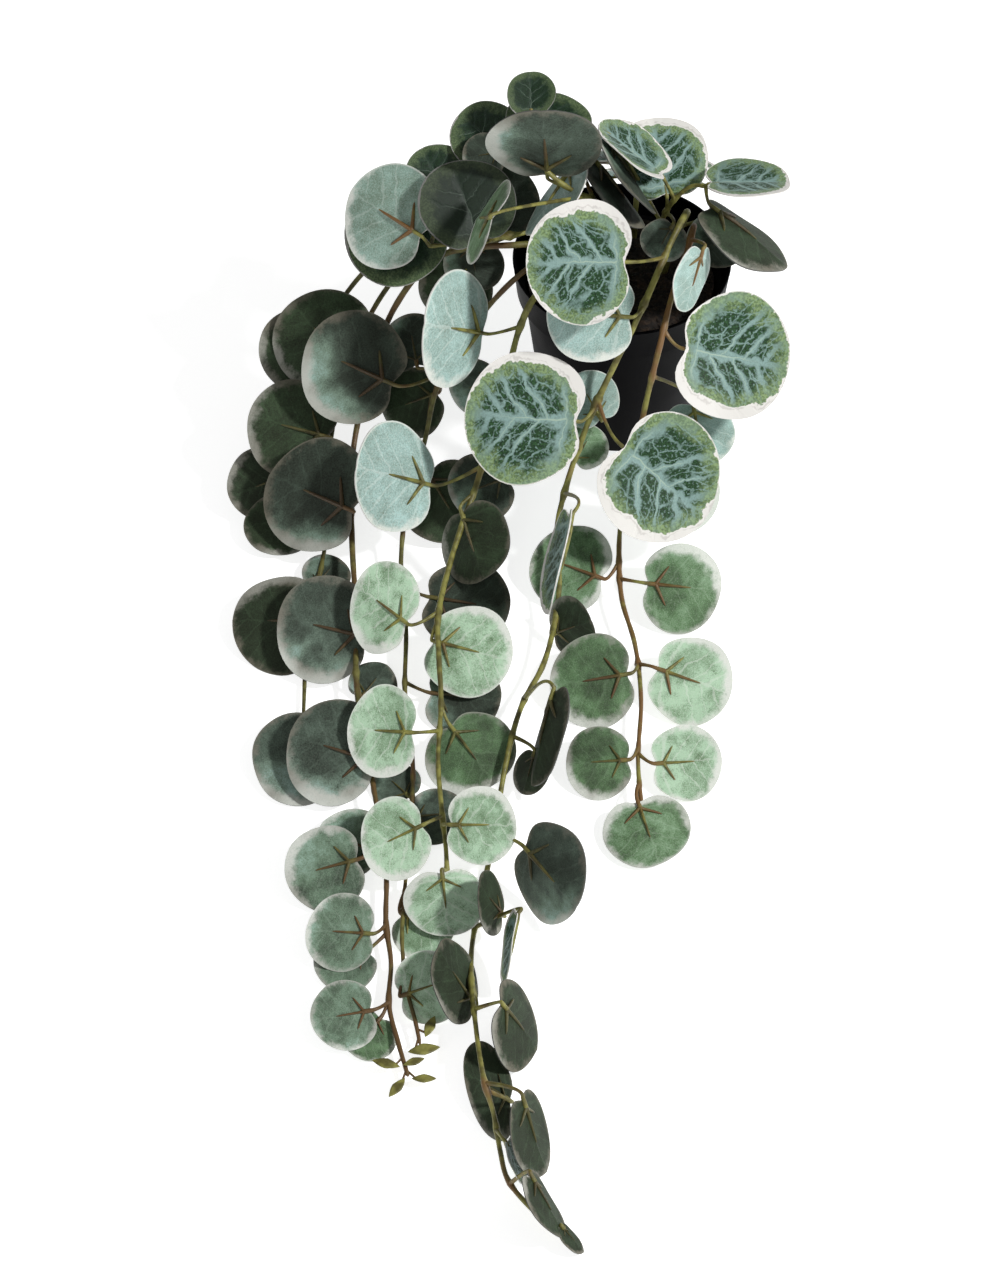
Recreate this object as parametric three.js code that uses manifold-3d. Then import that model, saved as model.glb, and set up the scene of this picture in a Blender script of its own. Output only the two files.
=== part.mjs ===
// A string of hearts in a small black pot. Its stems climb out of the soil, bend over the pot's rim and
// trail down to the surface that the pot stands on, where they lie with their leaves. Sizes are millimetres,
// Z is up, and the origin is the middle of the pot's foot. The plant trails towards -Y and to the left, -X.

import * as THREE from 'three';
import { mergeVertices } from 'three/addons/utils/BufferGeometryUtils.js';
import Module from 'manifold-3d';

// Pot
const POT_HEIGHT = 110;
const RIM_RADIUS = 60;
const FOOT_RADIUS = 43;
const FOOT_CHAMFER = 1.5;
const COLLAR_HEIGHT = 21;
const COLLAR_TAPER = 2.2;
const COLLAR_STEP = 4;
const COLLAR_SLOPE = 1;
const LIP_CHAMFER = 0.9;
const INNER_LIP_CHAMFER = 0.5;
const WALL = 1.8;
const POT_FLOOR = 3;
const POT_SIDES = 32;

// Soil, with a plain hole for each stem
const SOIL_TOP = 92;
const SOIL_CROWN = 3;
const SOIL_GAP = 0.8;
const SOIL_BEND_SHARE = 0.55;
const SOIL_BEND_HEIGHT_SHARE = 0.8;
const HOLE_DEPTH = 24;
const HOLE_GAP = 1.2;
const HOLE_FOOT_GAP = 0.3;
const HOLE_SIDES = 8;

// Stems and leaf stalks
const STEM_SIDES = 5;
const STEM_STEP = 17;
const STEM_TIP_SHARE = 0.6;
const PARTS_OF_STEP = 8;
const STALK_WIDTH = 1.7;
const STALK_STAGES = [0.45, 0.88];
const STALK_SLANT = 0.55;
const STALK_BEND = 0.35;
const STALK_DIP = 0.1;

// Leaf blades, folded a little along the middle, with three ribs that spread over the underside like the
// toes of a bird's foot
const BLADE_THICKNESS = 0.8;
const BLADE_POINTS = 12;
const BLADE_LENGTH_SHARE = 0.92;
const BLADE_FOLD = 6;
const NOTCH_DEPTH = 0.16;
const NOTCH_SPREAD = 0.26;
const RIB_HEIGHT = 1.3;
const RIB_START = 2.4;
const RIB_VALLEY = 2.5;
const RIB_SPREAD = 42;
const RIB_OUTSIDE = 2;
const RIB_OUTSIDE_SPREAD = 105;
const MIDDLE_RIB_SHARE = 0.42;
const SIDE_RIB_SHARE = 0.32;
const REST_GAP = 0.3;
const TIP_LEAF_WIDTH_SHARE = 0.42;
const TIP_LEAF_THICKNESS = 2;
const TIP_STALK_RADIUS = 0.6;
const TIP_STALK_SIDES = 3;
const TIP_STALK_REACH = 0.3;
const TIP_STALK_BACK = 2;

// The plant's layout was measured on a picture taken from above its front. A place in it is a pixel across,
// a pixel down and a height over the surface in millimetres.
const VIEW_SLOPE = THREE.MathUtils.degToRad(50);
const VIEW_REACH = 1800;
const PIXEL_SIZE = 0.548;
const PICTURE_MIDDLE = [500, 639];
const RIM_PIXEL = [622, 257];

// Which face of a blade is up: the plain underside with its ribs, or the patterned upper face
const UNDER = -1;
const UPPER = 1;

// A leaf is: pixel across, pixel down, height, width, heading of its tip, turn away from the viewer, heading
// of that turn, face. A tip leaf is: pixel across, pixel down, height, length, heading. Headings are degrees
// in the picture, from the right, anticlockwise. A root is in millimetres from the pot's middle.
const STEMS = [
  {
    name: 'stem_long',
    radius: 1.7,
    root: [24, 4],
    route: [
      [687, 212, 149], [672, 240, 147], [652, 286, 135], [633, 328, 119], [611, 372, 98], [590, 418, 74],
      [568, 480, 47], [557, 530, 33], [559, 590, 19], [545, 660, 14], [522, 705, 15], [510, 745, 17],
      [501, 790, 10], [496, 825, 5], [484, 885, 3.6], [474, 932, 3.6], [471, 962, 8], [474, 1010, 14],
      [484, 1080, 24], [494, 1115, 15], [500, 1150, 9], [508, 1180, 7], [538, 1215, 6], [560, 1234, 5],
    ],
    leaves: [
      [582, 262, 157, 66, 180, 4, -120, UPPER],
      [527, 418, 82, 74, 176, 2, 180, UPPER],
      [659, 478, 64, 72, -41, 3, 0, UPPER],
      [593, 314, 128, 54, 175, 6, -90, UNDER],
      [590, 400, 78, 34, 120, 6, -90, UNDER],
      [584, 446, 52, 28, 60, 4, 90, UNDER],
      [561, 558, 54, 66, -102, 80, 168, UPPER],
      [570, 630, 14, 34, 20, 40, 200, UNDER],
      [545, 732, 34, 62, -103, 72, 166, UNDER],
      [530, 776, 7, 28, -100, 50, 160, UNDER],
      [548, 876, 24.5, 56, -24, 50, 188, UNDER],
      [492, 902, 24, 34, 170, 66, 10, UNDER],
      [511, 955, 15, 46, -99, 80, 171, UPPER],
      [457, 983, 16, 46, 150, 58, 22, UNDER],
      [517, 1027, 18, 48, -15, 60, 14, UNDER],
      [490, 1090, 15, 48, 165, 56, 10, UNDER],
      [532, 1136, 17, 46, -60, 63, 15, UNDER],
      [514, 1160, 12, 26, -68, 74, 22, UPPER],
      [545, 1202, 18, 40, -60, 72, 30, UNDER],
      [571, 1239, 6, 20, -48, 56, 40, UNDER],
    ],
    tips: [],
  },
  {
    name: 'stem_right',
    radius: 1.6,
    root: [31, -5],
    route: [
      [694, 226, 140], [684, 262, 137], [672, 296, 127], [660, 345, 112], [647, 398, 86], [632, 470, 50],
      [621, 520, 26], [619, 560, 16], [622, 600, 13], [635, 645, 12], [641, 700, 11], [638, 760, 10],
      [641, 800, 9], [645, 824, 8],
    ],
    leaves: [
      [731, 357, 108, 70, -10, 4, 0, UPPER],
      [694, 277, 148, 42, -80, 66, -20, UNDER],
      [698, 432, 60, 42, -80, 4, 90, UNDER],
      [676, 494, 48, 50, -60, 0, 0, UNDER],
      [572, 568, 14, 50, 159, 12, 90, UNDER],
      [680, 587, 18, 50, -6, 10, 90, UNDER],
      [594, 680, 14, 52, 190, 15, 90, UNDER],
      [690, 680, 14, 50, -20, 15, 90, UNDER],
      [600, 762, 11, 40, 184, 16, 90, UNDER],
      [685, 762, 12, 42, 4, 16, 90, UNDER],
      [647, 829, 8, 46, -76, 30, 90, UNDER],
    ],
    tips: [],
  },
  {
    name: 'stem_front_left',
    radius: 1.7,
    root: [-8, -14],
    route: [
      [598, 272, 112], [560, 276, 121], [534, 298, 119], [519, 330, 104], [508, 372, 84], [493, 425, 66],
      [478, 480, 50], [462, 525, 40], [448, 570, 35], [438, 617, 33], [439, 660, 29], [441, 700, 25],
      [438, 760, 22], [442, 812, 20], [446, 850, 17], [447, 872, 14],
    ],
    leaves: [
      [458, 329, 112, 64, 170, 54, -14, UNDER],
      [475, 386, 68, 32, 200, 4, 90, UNDER],
      [398, 477, 52, 62, 174, 40, 4, UNDER],
      [482, 487, 38, 40, 200, 4, 90, UNDER],
      [472, 542, 36, 50, -60, 42, 180, UNDER],
      [384, 606, 36, 52, 148, 14, 120, UNDER],
      [468, 650, 25, 52, -15, 15, 90, UNDER],
      [384, 731, 31, 51, 176, 14, 110, UNDER],
      [470, 752, 13, 49, -55, 18, 90, UNDER],
      [396, 838, 22, 44, 205, 18, 90, UNDER],
      [480, 825, 30.5, 41, 0, 12, 90, UNDER],
      [445, 900, 15, 41, -84, 20, 90, UNDER],
    ],
    tips: [],
  },
  {
    name: 'stem_middle_left',
    radius: 1.5,
    root: [-17, -7],
    route: [
      [582, 256, 116], [550, 256, 124], [516, 278, 117], [470, 330, 88], [437, 388, 64], [425, 440, 44],
      [408, 500, 26], [401, 560, 15], [406, 630, 12], [405, 695, 9], [413, 770, 7], [409, 840, 6],
      [404, 900, 7], [402, 940, 8], [407, 990, 8], [415, 1020, 7], [420, 1044, 6],
    ],
    leaves: [
      [354, 367, 80, 64, 156, 0, 0, UNDER],
      [413, 343, 74, 36, 100, 2, 90, UNDER],
      [413, 402, 50, 40, 200, 2, 90, UNDER],
      [444, 500, 22, 50, -60, 8, 90, UNDER],
      [465, 603, 11, 54, -10, 25, 90, UNDER],
      [462, 697, 7.5, 46, -8, 30, 90, UNDER],
      [396, 785, 4, 28, 130, 32, 90, UNDER],
      [436, 815, 5, 34, 10, 34, 90, UNDER],
      [424, 926, 5, 36, -35, 34, 90, UNDER],
      [428, 987, 10, 38, 20, 16, 90, UNDER],
    ],
    tips: [
      [430, 1027, 7, 13, 70], [424, 1050, 7, 16, 10],
    ],
  },
  {
    name: 'stem_lower_left',
    radius: 1.7,
    root: [-23, 2],
    route: [
      [566, 247, 117], [515, 245, 125], [440, 256, 114], [396, 305, 86], [368, 380, 56], [352, 460, 32],
      [352, 540, 20], [356, 610, 16], [357, 690, 13], [374, 790, 12], [386, 870, 9], [386, 925, 8],
      [391, 962, 7], [389, 1005, 7], [398, 1042, 6], [408, 1076, 6],
    ],
    leaves: [
      [316, 495, 36, 66, 158, 20, 170, UNDER],
      [326, 628, 20, 60, 165, 16, 95, UNDER],
      [373, 683, 5, 28, 60, 30, 90, UNDER],
      [336, 750, 21, 58, 160, 18, 95, UNDER],
      [353, 842, 6, 42, 140, 32, 90, UNDER],
      [326, 868, 14, 46, 195, 16, 100, UNDER],
      [342, 932, 14, 40, 176, 14, 90, UNDER],
      [345, 962, 4, 34, 215, 34, 90, UNDER],
      [345, 1015, 13, 36, 190, 14, 90, UNDER],
      [368, 1034, 4, 30, 240, 34, 90, UNDER],
    ],
    tips: [
      [386, 1064, 6, 14, 165], [424, 1079, 6, 12, 0], [397, 1088, 6, 13, 235], [414, 1062, 8, 11, 20],
    ],
  },
  {
    name: 'stem_far_left_lower',
    radius: 1.5,
    root: [-22, 12],
    route: [
      [566, 234, 118], [514, 231, 124], [446, 240, 110], [390, 284, 76], [348, 366, 44], [328, 460, 19],
      [325, 545, 8], [308, 630, 4], [304, 700, 4], [303, 740, 4],
    ],
    leaves: [
      [280, 622, 12.5, 58, 175, 24, 100, UNDER],
      [326, 574, 6, 28, 60, 30, 90, UNDER],
      [298, 757, 10, 54, 190, 28, 100, UNDER],
    ],
    tips: [],
  },
  {
    name: 'stem_far_left_upper',
    radius: 1.5,
    root: [-13, 20],
    route: [
      [570, 220, 118], [513, 216, 126], [440, 224, 112], [368, 268, 80], [318, 340, 50], [290, 415, 26],
      [282, 490, 12], [284, 515, 8],
    ],
    leaves: [
      [322, 337, 70, 58, 130, 2, 90, UNDER],
      [300, 350, 62, 50, 190, 4, 90, UNDER],
      [293, 428, 46, 56, 165, 4, 90, UNDER],
      [264, 484, 19, 44, 200, 8, 90, UNDER],
      [279, 524, 12, 40, 250, 18, 90, UNDER],
    ],
    tips: [],
  },
  {
    name: 'stem_mound_left',
    radius: 1.6,
    root: [-5, 12],
    route: [
      [600, 238, 120], [560, 228, 131], [508, 236, 135], [462, 243, 134], [430, 246, 133],
    ],
    leaves: [
      [390, 216, 150, 60, 150, 22, 180, UNDER],
      [396, 232, 126, 62, 200, 4, -90, UPPER],
      [467, 205, 160, 54, 110, 6, 0, UPPER],
      [500, 200, 138, 46, 60, 0, 0, UNDER],
      [438, 176, 154, 38, 120, 4, 90, UPPER],
      [456, 288, 90, 42, 240, 0, 90, UNDER],
      [474, 264, 100, 34, 280, 4, -90, UNDER],
    ],
    tips: [],
  },
  {
    name: 'stem_mound_top',
    radius: 1.6,
    root: [4, 24],
    route: [
      [616, 222, 138], [592, 200, 162], [562, 184, 176], [540, 162, 186], [532, 134, 190],
    ],
    leaves: [
      [484, 135, 168, 40, 140, 10, 90, UPPER],
      [531, 95, 196, 30, 90, 14, 90, UPPER],
      [545, 147, 200, 62, 92, 58, -90, UNDER],
      [548, 124, 184, 48, 80, 30, 90, UPPER],
      [484, 155, 169, 26, 190, 10, 90, UNDER],
      [484, 219, 179, 50, 155, 75, 155, UNDER],
      [555, 196, 160, 56, -125, 70, 145, UNDER],
      [616, 190, 154, 56, -52, 72, 38, UNDER],
    ],
    tips: [],
  },
  {
    name: 'stem_mound_right',
    radius: 1.6,
    root: [20, 16],
    route: [
      [664, 216, 132], [676, 198, 148], [692, 186, 158], [706, 186, 162],
    ],
    leaves: [
      [660, 160, 158, 54, 100, 10, 90, UPPER],
      [634, 152, 176, 54, 142, 62, 52, UPPER],
      [627, 172, 172, 60, -55, 80, 35, UNDER],
      [746, 182, 166, 54, 2, 60, 90, UPPER],
      [744, 233, 146, 64, -37, 62, 53, UNDER],
      [716, 240, 121, 34, 250, 10, 90, UNDER],
      [664, 240, 134, 26, 240, 4, -90, UNDER],
    ],
    tips: [],
  },
  {
    name: 'stem_mound_back',
    radius: 1.6,
    root: [8, 34],
    route: [
      [636, 204, 118], [640, 176, 126], [643, 158, 118], [643, 160, 96], [642, 172, 74],
    ],
    leaves: [
      [585, 160, 124, 52, 170, 74, 90, UPPER],
      [612, 140, 128, 50, 130, 70, 90, UPPER],
      [678, 158, 116, 50, 10, 74, 70, UPPER],
      [600, 176, 90, 48, 200, 80, 95, UPPER],
      [676, 182, 90, 48, -20, 80, 80, UPPER],
      [640, 192, 62, 50, 270, 88, 90, UPPER],
    ],
    tips: [],
  },
];

const potMaterial = new THREE.MeshStandardMaterial({ color: 0x0d0b10, roughness: 0.45, metalness: 0 });
const soilMaterial = new THREE.MeshStandardMaterial({ color: 0x2b2119, roughness: 1, metalness: 0 });
const stemMaterial = new THREE.MeshStandardMaterial({ color: 0x6f8a72, roughness: 0.7, metalness: 0 });

const wasm = await Module();
wasm.setup();

// Turns a closed geometry into a solid that can be joined and cut.
function solidOf(geometry) {
  geometry.deleteAttribute('normal');
  geometry.deleteAttribute('uv');
  const merged = mergeVertices(geometry, 1e-4);
  return new wasm.Manifold(new wasm.Mesh({
    numProp: 3,
    vertProperties: new Float32Array(merged.attributes.position.array),
    triVerts: new Uint32Array(merged.index.array),
  }));
}

// Turns a solid back into a named mesh.
function meshOf(name, solid, material) {
  const built = solid.getMesh();
  const geometry = new THREE.BufferGeometry();
  geometry.setAttribute('position', new THREE.BufferAttribute(built.vertProperties, 3));
  geometry.setIndex(new THREE.BufferAttribute(built.triVerts, 1));
  geometry.computeVertexNormals();
  const mesh = new THREE.Mesh(geometry, material);
  mesh.name = name;
  return mesh;
}

// A solid turned about the pot's axis from a closed profile of [radius, height] points.
function turned(profile) {
  const points = profile.map(([radius, height]) => new THREE.Vector2(radius, height));
  const geometry = new THREE.LatheGeometry(points, POT_SIDES);
  geometry.rotateX(Math.PI / 2);
  return solidOf(geometry);
}

const radians = THREE.MathUtils.degToRad;

// A step of so many millimetres across the picture, up the picture and out of it towards the viewer.
function inView(across, up, out) {
  const level = up * Math.sin(VIEW_SLOPE) - out * Math.cos(VIEW_SLOPE);
  const height = up * Math.cos(VIEW_SLOPE) + out * Math.sin(VIEW_SLOPE);
  return new THREE.Vector3(across, level, height);
}

// The point at a pixel of the layout picture that lies at a height over the surface.
function spot([across, down, height]) {
  const rightward = (across - PICTURE_MIDDLE[0]) * PIXEL_SIZE;
  const upward = (PICTURE_MIDDLE[1] - down) * PIXEL_SIZE;
  const rimRightward = (RIM_PIXEL[0] - PICTURE_MIDDLE[0]) * PIXEL_SIZE;
  const rimUpward = (PICTURE_MIDDLE[1] - RIM_PIXEL[1]) * PIXEL_SIZE;
  const eye = inView(-rimRightward, -rimUpward, VIEW_REACH).add(new THREE.Vector3(0, 0, POT_HEIGHT));
  const ray = inView(rightward, upward, -VIEW_REACH);
  return eye.addScaledVector(ray, (height - eye.z) / ray.z);
}

// A tube along a curve, thinner towards its far end.
function tube(curve, steps, sides, radius, endShare) {
  const section = new THREE.Shape();
  for (let side = 0; side < sides; side += 1) {
    const angle = (2 * Math.PI * side) / sides;
    const corner = new THREE.Vector2(radius * Math.cos(angle), radius * Math.sin(angle));
    if (side === 0) {
      section.moveTo(corner.x, corner.y);
    } else {
      section.lineTo(corner.x, corner.y);
    }
  }
  const geometry = new THREE.ExtrudeGeometry(section, { steps, extrudePath: curve });
  const middles = curve.getSpacedPoints(steps);
  const position = geometry.attributes.position;
  const point = new THREE.Vector3();
  for (let index = 0; index < position.count; index += 1) {
    point.fromBufferAttribute(position, index);
    const gaps = middles.map((middle) => middle.distanceTo(point));
    const layer = gaps.indexOf(Math.min(...gaps));
    const share = 1 + (endShare - 1) * (layer / steps);
    point.sub(middles[layer]).multiplyScalar(share).add(middles[layer]);
    position.setXYZ(index, point.x, point.y, point.z);
  }
  return solidOf(geometry);
}

// The line that a stem follows, from the bottom of its hole in the soil to its tip.
function stemCurve({ root: [x, y], route }) {
  const levels = [-HOLE_DEPTH, -HOLE_DEPTH / 2, 1];
  const upright = levels.map((level) => new THREE.Vector3(x, y, SOIL_TOP + SOIL_CROWN + level));
  return new THREE.CatmullRomCurve3([...upright, ...route.map(spot)], false, 'centripetal');
}

// Close points down the middle of a stem's straight facets, where its leaf stalks can grow from.
function middleLine(curve, steps) {
  const bends = curve.getSpacedPoints(steps);
  const line = [];
  for (let index = 0; index < steps; index += 1) {
    for (let part = 0; part < PARTS_OF_STEP; part += 1) {
      line.push(bends[index].clone().lerp(bends[index + 1], part / PARTS_OF_STEP));
    }
  }
  return line;
}

// Where a leaf stands: x across the blade, y from its notch to its tip, z out of its upper face. A blade
// that would reach into the surface is lifted until it rests on it.
function leafFrame([across, down, height, width, heading, turn, turnHeading, face]) {
  const axis = inView(Math.cos(radians(heading)), Math.sin(radians(heading)), 0);
  const aside = Math.sin(radians(turn));
  const facing = inView(
    aside * Math.cos(radians(turnHeading)),
    aside * Math.sin(radians(turnHeading)),
    Math.cos(radians(turn)),
  );
  axis.addScaledVector(facing, -axis.dot(facing)).normalize();
  const normal = facing.multiplyScalar(face);
  const side = new THREE.Vector3().crossVectors(axis, normal);
  const reach = 0.5 * width * Math.hypot(axis.z * BLADE_LENGTH_SHARE, side.z);
  const fold = 0.5 * width * Math.tan(radians(BLADE_FOLD)) * Math.max(-normal.z, 0);
  const middle = spot([across, down, height]);
  middle.z = Math.max(middle.z, reach + fold + REST_GAP);
  const matrix = new THREE.Matrix4().makeBasis(side, axis, normal).setPosition(middle);
  return { width, matrix };
}

// The outline point of a unit blade at a heading from its tip: round, with a shallow notch at the stalk.
function outline(angle) {
  const fromNotch = Math.PI - Math.abs(angle);
  const radius = 0.5 * (1 - NOTCH_DEPTH * Math.exp(-((fromNotch / NOTCH_SPREAD) ** 2)));
  return [radius * Math.sin(angle), radius * BLADE_LENGTH_SHARE * Math.cos(angle)];
}

// The rim of a blade, from the right of its stalk round the tip to the left of its stalk.
function bladeRim(width) {
  const [, notch] = outline(Math.PI);
  const rim = [[STALK_WIDTH / 2, notch * width]];
  for (let index = 1; index < BLADE_POINTS; index += 1) {
    const [x, y] = outline(Math.PI - (2 * Math.PI * index) / BLADE_POINTS);
    rim.push([width * x, width * y]);
  }
  rim.push([-STALK_WIDTH / 2, notch * width]);
  return rim;
}

// A point at a distance and a heading from where the ribs meet, on the side of the blade that side gives.
function ribPoint(width, distance, degrees, side) {
  const [, notch] = outline(Math.PI);
  const start = notch * width + RIB_START;
  return [side * distance * Math.sin(radians(degrees)), start + distance * Math.cos(radians(degrees))];
}

// One leaf in its own frame. The stalk runs from the notch to the joint, a point on the stem.
function leafGeometry(width, joint) {
  const points = [];
  const faces = [];
  const add = (x, y, z) => points.push(x, y, z) / 3 - 1;
  const rise = (x) => Math.max(Math.abs(x) - STALK_WIDTH / 2, 0) * Math.tan(radians(BLADE_FOLD));
  const addUpper = ([x, y]) => add(x, y, rise(x) + BLADE_THICKNESS / 2);
  const addLower = ([x, y]) => add(x, y, rise(x) - BLADE_THICKNESS / 2);
  const rim = bladeRim(width);
  const upper = rim.map(addUpper);
  const lower = rim.map(addLower);
  const last = rim.length - 1;
  const tip = last / 2;

  // Upper face and edge
  faces.push(upper[tip], upper[last], upper[0]);
  for (let here = 0; here < last; here += 1) {
    const next = here + 1;
    faces.push(upper[here], lower[here], lower[next], upper[here], lower[next], upper[next]);
    if (here !== tip && next !== tip) {
      faces.push(upper[tip], upper[here], upper[next]);
    }
  }

  // Underside and ribs
  const crown = add(0, rim[0][1] + RIB_START, -BLADE_THICKNESS / 2 - RIB_HEIGHT);
  const middleEnd = ribPoint(width, width * MIDDLE_RIB_SHARE, 0, 1);
  const middleIndex = addLower(middleEnd);
  faces.push(crown, lower[0], lower[last]);
  for (const side of [1, -1]) {
    const between = ribPoint(width, RIB_VALLEY, RIB_SPREAD / 2, side);
    const sideEnd = ribPoint(width, width * SIDE_RIB_SHARE, RIB_SPREAD, side);
    const outside = ribPoint(width, RIB_OUTSIDE, RIB_OUTSIDE_SPREAD, side);
    const half = Array.from({ length: tip + 1 }, (_, step) => (side > 0 ? step : last - step));
    const outlinePoints = [...half.map((index) => rim[index]), middleEnd, between, sideEnd, outside];
    const inner = [middleIndex, addLower(between), addLower(sideEnd), addLower(outside)];
    const indices = [...half.map((index) => lower[index]), ...inner];
    const contour = outlinePoints.map(([x, y]) => new THREE.Vector2(Math.abs(x), y));
    const flat = THREE.ShapeUtils.triangulateShape(contour, []);
    const triangles = flat.map((corners) => corners.map((corner) => indices[corner]));
    const chain = [...inner, indices[0]];
    inner.forEach((corner, index) => triangles.push([crown, chain[index + 1], corner]));
    triangles.forEach(([one, two, three]) => {
      faces.push(...(side > 0 ? [three, two, one] : [one, two, three]));
    });
  }

  // Stalk
  const start = new THREE.Vector3(0, rim[0][1], 0);
  const bend = STALK_BEND * start.distanceTo(joint);
  const control = new THREE.Vector3(0, start.y - bend, -STALK_DIP * start.distanceTo(joint));
  const path = new THREE.QuadraticBezierCurve3(start, control, joint);
  const across = new THREE.Vector3(STALK_WIDTH / 2, 0, 0);
  let ring = [upper[last], upper[0], lower[0], lower[last]];
  for (const stage of STALK_STAGES) {
    const middle = path.getPoint(stage);
    const tangent = path.getTangent(stage);
    across.addScaledVector(tangent, -across.dot(tangent)).setLength(STALK_WIDTH / 2);
    const out = new THREE.Vector3().crossVectors(tangent, across);
    const next = [[-1, 1], [1, 1], [1, -1], [-1, -1]].map(([wide, high]) => {
      const corner = middle.clone().addScaledVector(across, wide).addScaledVector(out, high);
      return add(corner.x, corner.y, corner.z);
    });
    ring.forEach((corner, index) => {
      const other = (index + 1) % 4;
      faces.push(corner, next[index], next[other], corner, next[other], ring[other]);
    });
    ring = next;
  }
  const root = add(joint.x, joint.y, joint.z);
  ring.forEach((corner, index) => faces.push(corner, root, ring[(index + 1) % 4]));

  const geometry = new THREE.BufferGeometry();
  geometry.setAttribute('position', new THREE.Float32BufferAttribute(points, 3));
  geometry.setIndex(faces);
  return geometry;
}

// The index of the point of a line that is nearest to a place.
function nearestIndex(line, place) {
  const gaps = line.map((point) => point.distanceTo(place));
  return gaps.indexOf(Math.min(...gaps));
}

// The point inside the stem where a leaf's stalk grows, a little nearer to the root than the leaf itself.
function stalkJoint(line, { width, matrix }) {
  const [, notch] = outline(Math.PI);
  const base = new THREE.Vector3(0, width * notch, 0).applyMatrix4(matrix);
  const nearest = nearestIndex(line, base);
  const back = (STALK_SLANT * line[nearest].distanceTo(base) * PARTS_OF_STEP) / STEM_STEP;
  return line[Math.max(nearest - Math.round(back), 0)].clone();
}

// One leaf where it grows.
function leafSolid(line, leaf) {
  const frame = leafFrame(leaf);
  const joint = stalkJoint(line, frame).applyMatrix4(frame.matrix.clone().invert());
  return solidOf(leafGeometry(frame.width, joint).applyMatrix4(frame.matrix));
}

// A small pointed leaf at the end of a stem, on a short stalk.
function tipLeafSolids(line, [across, down, height, length, heading]) {
  const middle = spot([across, down, height]);
  const leaf = new THREE.OctahedronGeometry(0.5);
  leaf.scale(length, length * TIP_LEAF_WIDTH_SHARE, TIP_LEAF_THICKNESS);
  leaf.rotateZ(radians(heading));
  leaf.translate(middle.x, middle.y, middle.z);
  const inward = new THREE.Vector3(Math.cos(radians(heading)), Math.sin(radians(heading)), 0);
  const base = middle.addScaledVector(inward, -TIP_STALK_REACH * length);
  const joint = line[Math.max(nearestIndex(line, base) - TIP_STALK_BACK, 0)];
  const stalk = new THREE.LineCurve3(joint, base);
  return [solidOf(leaf), tube(stalk, 1, TIP_STALK_SIDES, TIP_STALK_RADIUS, 1)];
}

// One leafy stem: the stem, its stalks and its leaves in one body.
function leafyStem(strand) {
  const curve = stemCurve(strand);
  const steps = Math.round(curve.getLength() / STEM_STEP);
  const line = middleLine(curve, steps);
  const solids = [tube(curve, steps, STEM_SIDES, strand.radius, STEM_TIP_SHARE)];
  strand.leaves.forEach((leaf) => solids.push(leafSolid(line, leaf)));
  strand.tips.forEach((leaf) => solids.push(...tipLeafSolids(line, leaf)));
  const bodies = wasm.Manifold.union(solids).decompose();
  bodies.sort((one, other) => other.volume() - one.volume());
  return meshOf(strand.name, bodies[0], stemMaterial);
}

// The pot: a tapered body, a small step and a deep collar round the mouth, all one thin wall.
function pot() {
  const collarBottom = POT_HEIGHT - COLLAR_HEIGHT;
  const collarFoot = RIM_RADIUS - COLLAR_TAPER;
  const shoulder = collarFoot - COLLAR_STEP;
  const profile = [
    [0, 0],
    [FOOT_RADIUS - FOOT_CHAMFER, 0],
    [FOOT_RADIUS, FOOT_CHAMFER],
    [shoulder, collarBottom - COLLAR_SLOPE],
    [collarFoot, collarBottom],
    [RIM_RADIUS, POT_HEIGHT - LIP_CHAMFER],
    [RIM_RADIUS - LIP_CHAMFER, POT_HEIGHT],
    [RIM_RADIUS - WALL + INNER_LIP_CHAMFER, POT_HEIGHT],
    [RIM_RADIUS - WALL, POT_HEIGHT - INNER_LIP_CHAMFER],
    [collarFoot - WALL, collarBottom + WALL],
    [shoulder - WALL, collarBottom],
    [FOOT_RADIUS - WALL, POT_FLOOR],
    [0, POT_FLOOR],
  ];
  return meshOf('pot', turned(profile), potMaterial);
}

// The soil fills the pot to a low crown, and each stem stands in its own hole.
function soil() {
  const shoulder = RIM_RADIUS - COLLAR_TAPER - COLLAR_STEP - WALL - SOIL_GAP;
  const crown = SOIL_TOP + SOIL_CROWN;
  const profile = [
    [0, POT_FLOOR + SOIL_GAP],
    [FOOT_RADIUS - WALL - SOIL_GAP, POT_FLOOR + SOIL_GAP],
    [shoulder, POT_HEIGHT - COLLAR_HEIGHT - COLLAR_SLOPE],
    [shoulder, SOIL_TOP],
    [shoulder * SOIL_BEND_SHARE, SOIL_TOP + SOIL_CROWN * SOIL_BEND_HEIGHT_SHARE],
    [0, crown],
  ];
  const bottom = crown - HOLE_DEPTH - HOLE_FOOT_GAP;
  const holes = STEMS.map(({ root: [x, y], radius }) => {
    const wide = radius + HOLE_GAP;
    const hole = new THREE.CylinderGeometry(wide, wide, 2 * (crown - bottom), HOLE_SIDES);
    hole.rotateX(Math.PI / 2);
    hole.translate(x, y, crown);
    return solidOf(hole);
  });
  return meshOf('soil', turned(profile).subtract(wasm.Manifold.union(holes)), soilMaterial);
}

const group = new THREE.Group();
group.add(pot(), soil(), ...STEMS.map(leafyStem));

export default group;
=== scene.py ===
"""A potted string of hearts: fine leaves, stems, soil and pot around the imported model, in a plain studio."""

import logging
import math
import random
from dataclasses import dataclass, field
from enum import Enum
from typing import NamedTuple, Sequence

import bpy
import numpy as np
from mathutils import Matrix, Vector


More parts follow.
